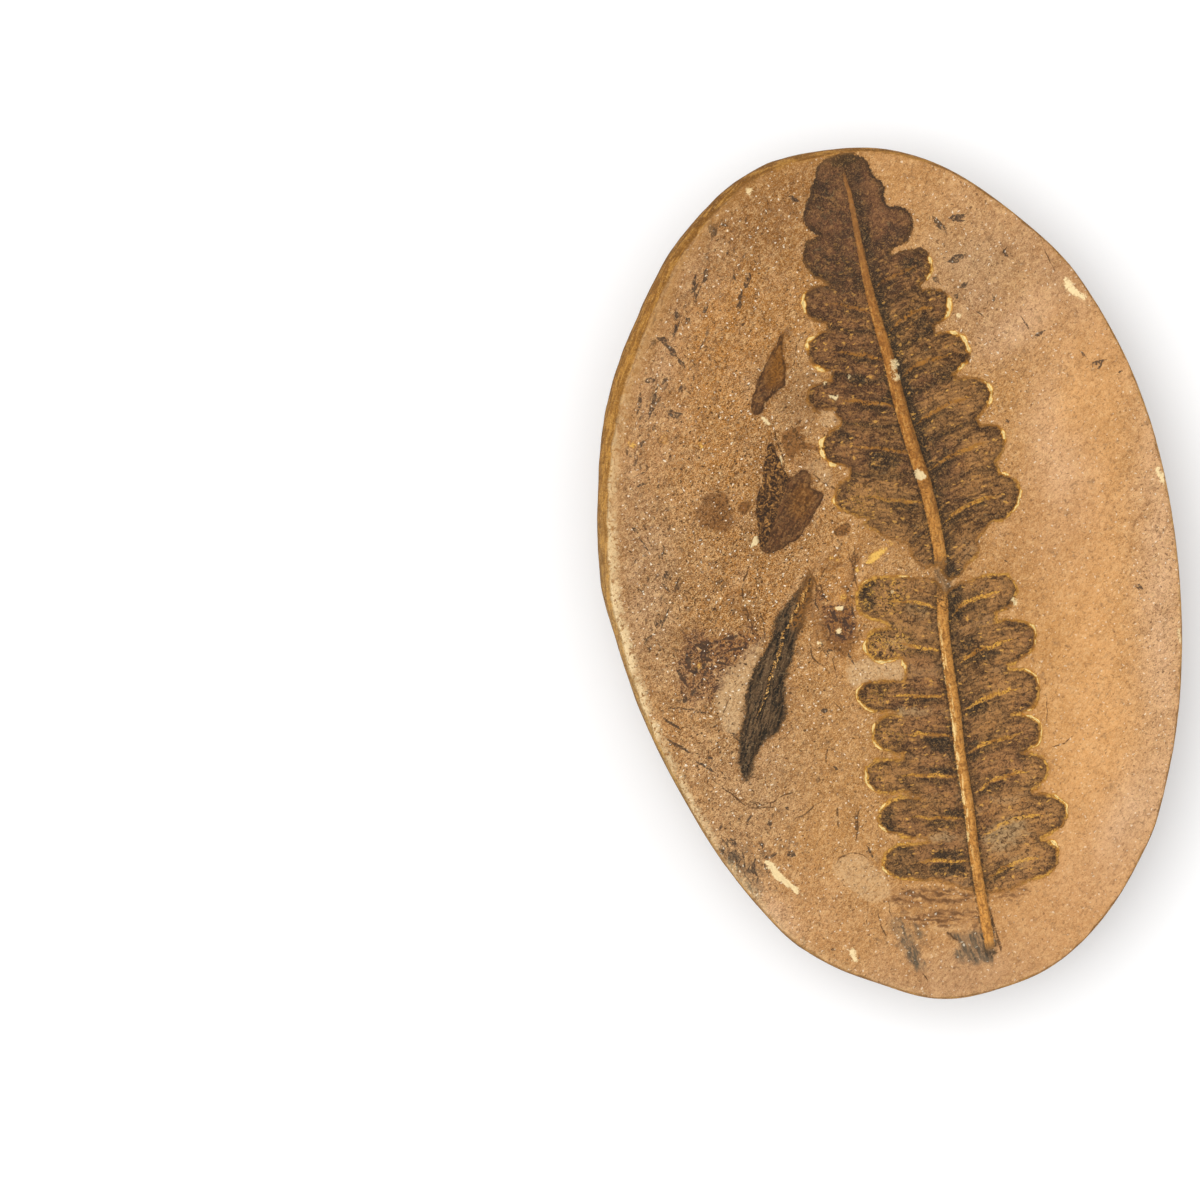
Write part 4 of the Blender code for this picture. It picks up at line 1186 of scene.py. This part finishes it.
# %% [markdown]
# ### Grain
# Ironstone is a clay bound by iron carbonate. Up close it is sandy: grains of a third of a
# millimetre, in clumps of about one, under clouds of several. Each size is one noise, and its scale
# is one over the size in metres. The finest are drawn a little coarser than real silt, so that they
# show. Plant fibres and the bedding need grain drawn out along a direction, so a second helper
# stretches the places that a pattern is read from.

# %% Noise fields
place = node("ShaderNodeTexCoord", output="Object")
kept = {name: node("ShaderNodeAttribute", output="Fac", attribute_name=name)
        for name in [*marks, "skin", "down"]}
broad_tone = node("ShaderNodeAttribute", output="Color", attribute_name="tone")
GRAINS = {      # size in mm, detail, distortion
    "dust": (0.15, 1.0, 0.3), "sand": (0.30, 2.0, 0.9), "clump": (0.95, 3.0, 0.9),
    "cloud": (3.2, 4.0, 0.5), "drift": (11.0, 3.0, 0.0), "coal": (0.5, 5.0, 1.2),
}
dust, sand, clump, cloud, drift, coal = [
    node("ShaderNodeTexNoise", {"Vector": place, "Scale": 1 / (size * MM), "Detail": detail,
                                "Distortion": distortion}, "Fac")
    for size, detail, distortion in GRAINS.values()]
BEND_SIZE = 0.7         # millimetres; the noise that keeps drawn-out patterns from running straight
BEND_REACH = (0.9 * MM, 0.9 * MM, 0.0)
bend_noise = {"Vector": place, "Scale": 1 / (BEND_SIZE * MM), "Detail": 2.0}
bend = node("ShaderNodeTexNoise", bend_noise, "Color")
bent = node("ShaderNodeVectorMath", {0: bend, 1: BEND_REACH, 2: place}, operation="MULTIPLY_ADD")


def stretched(long, wide, direction, seed):
    """Places for a pattern whose cells are so long and so wide, in millimetres, along a direction."""
    return node("ShaderNodeMapping", {"Vector": bent, "Location": (seed * MM, 0, 0),
                "Rotation": (0, 0, math.radians(direction) - PLAN_TURN),
                "Scale": (long * MM, wide * MM, MM)}, vector_type="TEXTURE")


FIBRES = {      # noise drawn out along a direction: length, width, direction, detail
    "scale": (0.75, 0.20, 52.0, 2.0), "band_scale": (9.0, 3.0, 62.0, 3.0),
    "stalk": (2.6, 0.30, 73.0, 3.0), "blade": (2.2, 0.35, 58.0, 3.0),
    "smear": (2.6, 0.35, 108.0, 3.0), "vein_hatch": (2.0, 0.40, 176.0, 3.0),
}
FIBRE_SEED = 3.0
fibre = {}
for name, (*cell, detail) in FIBRES.items():
    drawn_out = {"Vector": stretched(*cell, FIBRE_SEED), "Scale": 1.0, "Detail": detail}
    fibre[name] = node("ShaderNodeTexNoise", drawn_out, "Fac")
print("finest grain:", GRAINS["dust"][0], "mm")

# %% Bare stone
gritty = node("ShaderNodeMapRange", {"Value": "grit", "To Min": 0.42, "To Max": 1.22})
stone_colour = layered(broad_tone, [
    (mask(fibre["band_scale"], 0.46, 0.62), gritty, 0.36, "#A8733C"),
    (mask(fibre["band_scale"], 0.48, 0.32), gritty, 0.28, "#D1A274"),
    (mask(cloud, 0.48, 0.62), gritty, 0.34, "#98652F"),
    (mask(cloud, 0.48, 0.36), gritty, 0.20, "#CFA274"),
    (mask(clump, 0.52, 0.68), gritty, 0.38, "#83562A"),
    (mask(clump, 0.46, 0.30), gritty, 0.26, "#D8AC76"),
    (mask(fibre["scale"], 0.47, 0.32), gritty, 0.72, "#6A4422"),
    (mask(fibre["scale"], 0.54, 0.70), gritty, 0.50, "#E2B67C"),
    (mask(coal, 0.46, 0.34), gritty, 0.45, "#6C4626"),
    (mask(sand, 0.47, 0.34), gritty, 0.40, "#6E4724"),
    (mask(sand, 0.55, 0.70), gritty, 0.40, "#EEC890"),
    (mask(dust, 0.55, 0.66), gritty, gritty, 0.72, "#553719"),
    (mask(clump, 0.47, 0.34), 0.14, "#F0C48C"),
    (mask(dust, 0.44, 0.32), gritty, 0.35, "#EFCF9E"),
])
print("bare stone done")

# %% [markdown]
# ### Litter, dark grains and sparkles
# Cells of a Voronoi pattern give separate flecks. Each cell has a random colour, and only the cells
# whose colour passes a limit show theirs. Stretched cells make the strewn shreds, small round ones
# the dark ore grains and the sparkles of quartz.

# %% Flecks
FLECKS = (      # length and width of a cell in mm, direction, fleck size, share shown, seed
    ("shred_a", 3.0, 1.1, 62.0, 0.17, 0.40, 1.0), ("shred_b", 2.0, 0.8, -30.0, 0.17, 0.30, 7.0),
    ("shred_c", 1.4, 0.7, 88.0, 0.19, 0.36, 13.0), ("ore", 0.75, 0.55, 20.0, 0.17, 0.34, 21.0),
    ("quartz", 0.75, 0.6, 35.0, 0.13, 0.24, 33.0), ("bloom", 1.3, 0.6, 10.0, 0.17, 0.26, 41.0),
)
flecks = {}
for name, long, wide, direction, size, share, seed in FLECKS:
    cells = {"Vector": stretched(long, wide, direction, seed), "Scale": 1.0}
    near = node("ShaderNodeTexVoronoi", cells, "Distance", voronoi_dimensions="2D")
    colour = node("ShaderNodeTexVoronoi", cells, "Color", voronoi_dimensions="2D")
    chance = node("ShaderNodeSeparateColor", {"Color": colour}, "Red")
    flecks[name] = times(mask(near, size * 1.4, size * 0.8), mask(chance, 1 - share, 1 - 0.5 * share))
print(sorted(flecks))

# %% Layers on the bare stone
litter = times(mask("litter", 0.2, 0.8, clump, 0.5), mask(cloud, 0.42, 0.56))


def stroke(name, ragged_amount, softness=0.03):
    """The mask of a stroke: inside where its half width is more than the distance to its side."""
    bent_side = weighted(-0.5 * ragged_amount, (clump, ragged_amount), (name + "_side", 1.0))
    away = node("ShaderNodeMath", {0: bent_side}, operation="ABSOLUTE")
    return mask(weighted(name + "_room", (away, -1.0)), -softness, softness, sand, 0.7 * ragged_amount)


tone = layered(stone_colour, [
    (mask("pale", 0.1, 0.9, clump, 0.5), mask(sand, 0.25, 0.6), 0.8, "#D4B082"),
    (mask("brown", 0.1, 0.9, clump, 0.9), mask(sand, 0.22, 0.6), 0.9, "#7A4F28"),
    (mask("brown", 0.5, 0.9, clump, 0.9), mask(coal, 0.48, 0.38), 0.7, "#412A18"),
    (mask("ghost", 0.1, 0.9, clump, 1.0), mask(fibre["vein_hatch"], 0.36, 0.58), 0.75, "#7B5232"),
    (mask("ghost", 0.3, 0.9, clump, 1.0), mask(fibre["vein_hatch"], 0.50, 0.60), 0.60, "#54381F"),
    (mask("purple", 0.2, 0.9, clump, 1.6), mask(coal, 0.62, 0.42), 0.75, "#7C5138"),
    (mask("purple", 0.4, 0.8, clump, 1.6), mask(coal, 0.50, 0.42), 0.80, "#3E2D24"),
    (mask("slate", 0.15, 0.85, clump, 1.3), 0.55, "#6B5B48"),
    (mask("slate", 0.3, 0.8, clump, 1.3), mask(fibre["smear"], 0.42, 0.56), 0.80, "#484338"),
    (flecks["ore"], gritty, 0.85, "#4A321E"),
    (flecks["shred_a"], litter, 0.85, "#43342A"),
    (flecks["shred_b"], litter, 0.75, "#4E3825"),
    (flecks["shred_c"], litter, 0.8, "#453427"),
    (stroke("thread", 0.3), mask(clump, 0.32, 0.5), 0.85, "#4C331E"),
    (stroke("shred", 0.55), mask(coal, 0.36, 0.50), 0.85, "#372C25"),
    (mask("ochre", 0.25, 0.8, sand, 1.6), 0.6, "#B5772A"),
    (mask("ochre", 0.55, 0.9, sand, 1.6), 0.9, "#E8B85C"),
    (flecks["quartz"], gritty, 0.85, "#FBEBCF"),
    (mask("remnant", 0.30, 0.70, clump, 0.4), 0.85, "#88592C"),
    (mask("remnant", 0.35, 0.75, clump, 0.4), mask(coal, 0.52, 0.42), 0.75, "#4C361E"),
    (mask("cream", 0.35, 0.85, coal, 2.0), 0.85, "#E8CFA0"),
])
print("marks laid on the stone")

# %% [markdown]
# ### The frond
# The leaf itself is long gone. What is left is a film of coal and iron stain. Streaks of umber and
# tan run along each leaflet, charcoal gathers beside the rib and the midveins, and the web between
# leaflets is dark near the tip of the frond and worn thin further down.

# %% Film zones
upper = mask("rib_along", 0.50, 0.38)
lower = mask("rib_along", 0.38, 0.50)
crown = mask("rib_along", 0.20, 0.12)
leafy = mask("rib_along", 0.08, 0.22)
seam_away = node("ShaderNodeMath", {0: "seam"}, operation="ABSOLUTE")
along_leaf = node("ShaderNodeCombineXYZ", {
    "X": weighted(0.0, ("vein_along", 8.0), (clump, 1.4)),
    "Y": weighted(0.0, ("vein_below", 2.5), (clump, 1.8)), "Z": "leaf"})
streaks = node("ShaderNodeTexNoise", {"Vector": along_leaf, "Scale": 1.0, "Detail": 4.0}, "Fac")
pinch = times(mask("vein_along", 0.02, 0.12), mask("vein_along", 0.62, 0.28))
below = times(mask("vein_below", 0.15, 0.35), mask("vein_below", 1.7, 0.7, clump, 2.0), pinch)
above = times(mask("vein_below", -0.15, -0.35), mask("vein_below", -1.4, -0.6, clump, 2.0), pinch)
inner_edge = times(mask("film", 0.12, 0.3, clump, 0.6), mask("film", 1.5, 0.5, clump, 1.8))
print("film zones ready")

# %% Film
film_away = node("ShaderNodeMath", {0: "film"}, operation="ABSOLUTE")
on_film = mask("film", -0.06, 0.08, coal, 1.0)
paleness = weighted(-2.6, ("shade", 1.7), (cloud, 2.0), (streaks, 1.9), (coal, 0.7))
below_gap = mask("rib_along", 0.50, 0.56)
stained = mask(weighted(0.0, ("gold", 1.0), (film_away, -0.6), (clump, 1.0)), 0.55, 1.1)
film_colour = layered(linear("#4E331C"), [
    (mask(paleness, 0.0, 1.0), "#AE7D4A"),
    (mask(clump, 0.50, 0.62), mask(cloud, 0.44, 0.54), leafy, 0.50, "#97602A"),
    (mask(drift, 0.46, 0.56), 0.35, "#7C5038"),
    (mask(cloud, 0.46, 0.34), leafy, 0.45, "#432C1A"),
    (crown, 0.60, "#6C4630"),
    (mask(cloud, 0.50, 0.40), crown, 0.60, "#3B2F25"),
    (mask(cloud, 0.53, 0.63), crown, 0.50, "#82583A"),
    (mask(seam_away, 1.7, 0.2, clump, 1.6), upper, leafy, 0.60, "#35281B"),
    (mask(seam_away, 0.45, 0.1, clump, 0.8), upper, leafy, 0.60, "#2A2017"),
    (stained, 0.60, "#8E5C28"),
    (mask("tongue", 0.35, -0.25, clump, 1.8), below_gap, 0.70, "#A67C52"),
    (below, leafy, 0.80, "#2F261B"),
    (above, leafy, 0.50, "#382B1E"),
    (mask("rib", -2.8, -0.5, clump, 3.0), upper,
           weighted(0.08, (mask("rib_side", -0.9, 0.3), 0.50)), "#2D271E"),
    (mask("rib", -1.5, -0.9, clump, 1.2), mask("rib_side", 0.2, 0.6), upper, leafy, 0.75,
     "#29261E"),
    (mask("rib", -1.4, -0.3, clump, 2.4), lower, 0.50, "#352819"),
    (mask("rib", -2.4, -0.4, clump, 2.6), mask("rib_side", 0.1, 0.5),
           mask("rib_along", 0.80, 0.62), lower, 0.65, "#2C261D"),
    (inner_edge, mask("vein_along", 0.35, 0.8), 0.60, "#362516"),
    (mask("soot", 0.15, 0.8, clump, 1.8), 0.85, "#2A251D"),
    (mask(streaks, 0.47, 0.36), leafy, 0.45, "#33241A"),
    (mask(streaks, 0.55, 0.66), mask(coal, 0.42, 0.6), leafy, 0.65, "#BB8540"),
    (mask(coal, 0.47, 0.38), node("ShaderNodeMapRange", {"Value": crown, "To Min": 0.65, "To Max": 0.50}),
     "#2F2015"),
    (mask(coal, 0.56, 0.66), 0.42, "#AE7F48"),
    ("glint", mask(coal, 0.50, 0.41), 0.80, "#2A2118"),
    ("glint", mask(sand, 0.50, 0.58), mask(clump, 0.44, 0.54), 0.85, "#DAA246"),
    (mask(dust, 0.56, 0.68), 0.25, "#C0935C"),
    (mask(dust, 0.46, 0.34), 0.28, "#2C2015"),
    (mask("film", 0.55, 0.1, clump, 1.6), crown, 0.75, "#332A21"),
    (flecks["bloom"], leafy, 0.65, "#E0A650"),
])
tone = layered(tone, [(on_film, film_colour)])
print("film done")

# %% [markdown]
# ### Golden lines
# Iron settled wherever the leaf was thick. It draws a rusty line round each leaflet, which in
# places swells to a bright yellow crescent, and a golden thread along each midvein. The rib is the
# thickest of all. Its left flank carries a painted highlight in cream flecks, and its right flank a
# painted shade.

# %% Margins and midveins
glow = weighted(-1.55, ("gold", 1.35), (film_away, -2.0), (times(film_away, lower), -1.8),
                (clump, 1.7), (coal, 0.9))
at_tip = mask("vein_along", 0.42, 0.72, clump, 0.3)
margin = times(mask("film", -0.20, -0.02, clump, 0.6), mask("film", 0.42, 0.18, clump, 0.8))
midvein = times(stroke("midvein", 0.3, 0.1), on_film, leafy)
tone = layered(tone, [
    (midvein, mask(coal, 0.40, 0.52), 0.85, "#A36D2C"),
    (stroke("midvein", 0.45, 0.05), on_film, mask(sand, 0.45, 0.56), mask(cloud, 0.40, 0.52), lower, 0.85,
     "#DCA345"),
    (mask("film", -0.6, 0.1, clump, 1.2), mask("film", 0.5, 0.1, clump, 0.8), leafy,
           weighted(0.15, (lower, 0.20)), "#9C672C"),
    (margin, mask(clump, 0.38, 0.56), leafy, weighted(0.12, (lower, 0.18), (at_tip, 0.5)), "#AB732E"),
    (margin, mask(coal, 0.42, 0.54), mask(cloud, 0.40, 0.52), lower, at_tip, 0.85, "#DCA54A"),
    (mask(glow, -0.05, 0.30), 0.80, "#BA7B2A"),
    (mask(glow, 0.24, 0.42), 0.85, "#E0A649"),
    (mask(glow, 0.44, 0.60), 0.95, "#F8D890"),
])
print("margins and midveins done")

# %% Rib
along_rib = node("ShaderNodeCombineXYZ", {
    "X": node("ShaderNodeMath", {0: "rib_along", 1: 60.0}, operation="MULTIPLY"),
    "Y": node("ShaderNodeMath", {0: "rib_side", 1: 3.0}, operation="MULTIPLY")})
fibres = node("ShaderNodeTexNoise", {"Vector": along_rib, "Scale": 1.0, "Detail": 4.0}, "Fac")
broken = times(mask("rib_along", 0.512, 0.522, coal, 0.06),
               mask("rib_along", 0.572, 0.556, coal, 0.08))
whole = weighted(1.0, (broken, -0.9))
on_rib = times(mask("rib", -0.05, 0.07, sand, 0.4), mask("rib_along", 1.0, 0.985),
               mask("rib_along", 0.022, 0.040, coal, 0.02), whole)
rib_edge = times(mask("rib", -0.42, -0.1, clump, 0.6), mask("rib_along", 0.2, 0.3), whole)
# the rib's left flank, where a painted highlight is laid
lit_side = mask("rib_side", -0.05, -0.5)
# the rib's right flank, where a painted shade darkens its colour
shaded_side = mask("rib_side", 0.15, 0.75)
rib_colour = layered(linear("#B07332"), [
    (lower, 0.90, "#CE8F44"),
    (mask(fibres, 0.5, 0.66), 0.40, "#CF9448"),
    (mask(fibres, 0.48, 0.34), 0.55, "#7C4C20"),
    (mask(clump, 0.47, 0.36), 0.45, "#6A4320"),
    (mask(coal, 0.49, 0.38), 0.50, "#6E4421"),
    (mask(coal, 0.55, 0.66), 0.40, "#DDA75E"),
    (mask("rib_along", 0.24, 0.08), 0.6, "#8A5E36"),
    # painted shade on the rib's right flank, weaker lower down
    (shaded_side, weighted(0.5, (lower, -0.2)), "#5A3C1E"),
    # cream flecks on the lower rib's left flank, which also paint its highlight
    (lit_side, mask(fibres, 0.50, 0.58, coal, 0.4), mask("rib_along", 0.58, 0.64),
           mask("rib_along", 0.92, 0.84), 0.95, "#F8D792"),
    # painted highlight along the left flank of the upper rib
    (lit_side, mask(fibres, 0.56, 0.64, coal, 0.3), upper, leafy, 0.55, "#DDA455"),
])
tone = layered(tone, [
    (rib_edge, mask(clump, 0.36, 0.52), 0.70, "#35281A"),
    (on_rib, rib_colour),
    (mask("worn", 0.15, 0.85, clump, 1.6), mask(coal, 0.36, 0.56), 0.75, "#B59468"),
    (mask("cream", 0.38, 0.72, coal, 1.5), 0.92, "#EED4A0"),
])
print("rib done")

# %% [markdown]
# ### Loose pieces and the skin
# A stem and two leaf scraps lie beside the frond. The skin of the nodule is a rind of limonite,
# rusty and a little darker than the stone it grew on. It grew in thin layers, so its stripes follow
# the rim. They come from noise that changes slowly along the stone and fast with depth.

# %% Stem and scraps
on_scrap = mask("scrap", -0.05, 0.07, clump, 0.5)
on_stem = mask("stem", -0.30, 0.30, coal, 1.8)
on_strip = mask("strip", 0.3, 0.6, sand, 0.6)
tone = layered(tone, [
    (mask("scrap", -0.5, 0.0, clump, 1.2), 0.35, "#6B4627"),
    (on_scrap, "#6A4528"),
    (on_scrap, mask(fibre["blade"], 0.50, 0.60), 0.65, "#8A643C"),
    (on_scrap, mask(fibre["blade"], 0.48, 0.38), 0.70, "#432E1C"),
    ("amber", 0.85, "#88561E"),
    (on_scrap, mask(coal, 0.49, 0.39), 0.60, "#3A281A"),
    (on_scrap, mask(clump, 0.46, 0.36), 0.45, "#46301C"),
    (on_scrap, mask(coal, 0.56, 0.66), 0.60, "#A0723F"),
    (on_scrap, mask("scrap", 0.4, 0.05, clump, 1.0), 0.45, "#3F2B19"),
    (on_strip, 0.85, "#74502C"),
    (on_strip, mask(coal, 0.54, 0.45), 0.90, "#2E2118"),
    (on_strip, mask(coal, 0.57, 0.66), 0.80, "#C08A4A"),
    (mask("stem", -0.9, 0.1, clump, 1.6), 0.45, "#80562C"),
    (on_stem, 0.90, "#463726"),
    (on_stem, mask(fibre["stalk"], 0.51, 0.62), 0.55, "#7C5F42"),
    (on_stem, mask(fibre["stalk"], 0.50, 0.42), 0.90, "#1F1B15"),
    (on_stem, mask("stem", 0.7, 0.1, clump, 1.2), 0.70, "#251F18"),
    (on_stem, mask(coal, 0.47, 0.38), 0.60, "#241F18"),
    (on_stem, mask(sand, 0.57, 0.68), 0.45, "#A0835C"),
    (on_stem, "amber", mask(coal, 0.40, 0.55), 0.85, "#94622C"),
    (stroke("core", 0.7), mask(coal, 0.46, 0.54), 0.90, "#BE8740"),
    (stroke("core", 0.5), mask(coal, 0.56, 0.62), 0.90, "#EDC27A"),
    (stroke("core", 0.5), mask(sand, 0.44, 0.34), 0.60, "#2A2118"),
])
print("stem and scraps done")

# %% Rind
LAYER_RUN = 2.5         # millimetres along the stone over which the layers change
LAYER_DEPTH = 0.5       # and the same across them
stone_run = (1 / (LAYER_RUN * MM), 1 / (LAYER_RUN * MM), 0.0)
depth = node("ShaderNodeCombineXYZ", {"Z": weighted(0.0, ("skin", 1 / LAYER_DEPTH))})
layers = node("ShaderNodeVectorMath", {0: place, 1: stone_run, 2: depth}, operation="MULTIPLY_ADD")
bedding = node("ShaderNodeTexNoise", {"Vector": layers, "Scale": 1.0, "Detail": 4.0}, "Fac")
rind = layered(broad_tone, [
    (mask(bedding, 0.46, 0.58), 0.60, "#80541F"),
    (mask(bedding, 0.50, 0.40), 0.55, "#C48F42"),
    (mask(clump, 0.54, 0.66), 0.35, "#65421D"),
    (mask(sand, 0.48, 0.35), 0.40, "#5F3E1A"),
    (mask(sand, 0.56, 0.7), 0.35, "#DDAE66"),
    (mask("down", 0.55, 0.95, clump, 0.5), 0.60, "#5E4420"),
    (mask("skin", 4.0, 6.0, clump, 0.9), 0.4, "#6E4A1F"),
])
soft_side = node("ShaderNodeMapRange", {"Value": "band", "To Min": 0.10, "To Max": 0.75})
rind_start = node("ShaderNodeMath", {0: soft_side, 1: -1.0}, operation="MULTIPLY")
on_skin = mask("skin", rind_start, soft_side, clump, 0.9)
pale_edge = times(mask("skin", -1.2, -0.3, coal, 1.9), mask("skin", 1.0, 0.5, coal, 1.2),
                  "pale_rim")
tone = layered(tone, [
    (on_skin, rind),
    (pale_edge, mask(cloud, 0.32, 0.50), mask(coal, 0.36, 0.50), 0.95, "#EFD3A2"),
    (mask("skin", -2.5, -0.2, clump, 2.0), mask("skin", 0.3, -0.3), "band", 0.45,
     "#A87434"),
])
print("rind done")

# %% Surface
BUMP_HEIGHT = 0.26      # millimetres
tree.links.new(tone, shader.inputs["Base Color"])
grain_height = times(weighted(0.0, (sand, 1.0), (clump, 1.3), (coal, 0.8)), gritty)
film_height = weighted(grain_height, (times(coal, on_film), 0.8))
bump = node("ShaderNodeBump", {"Height": film_height, "Distance": BUMP_HEIGHT * MM, "Strength": 1.0})
tree.links.new(bump, shader.inputs["Normal"])
shader.inputs["Roughness"].default_value = 0.82
shader.inputs["Specular IOR Level"].default_value = 0.2
mesh.materials.append(ironstone)
print("nodes in the material:", len(tree.nodes))

# %% Hand over
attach(stone_object, "root")
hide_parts("fern_nodule_half")
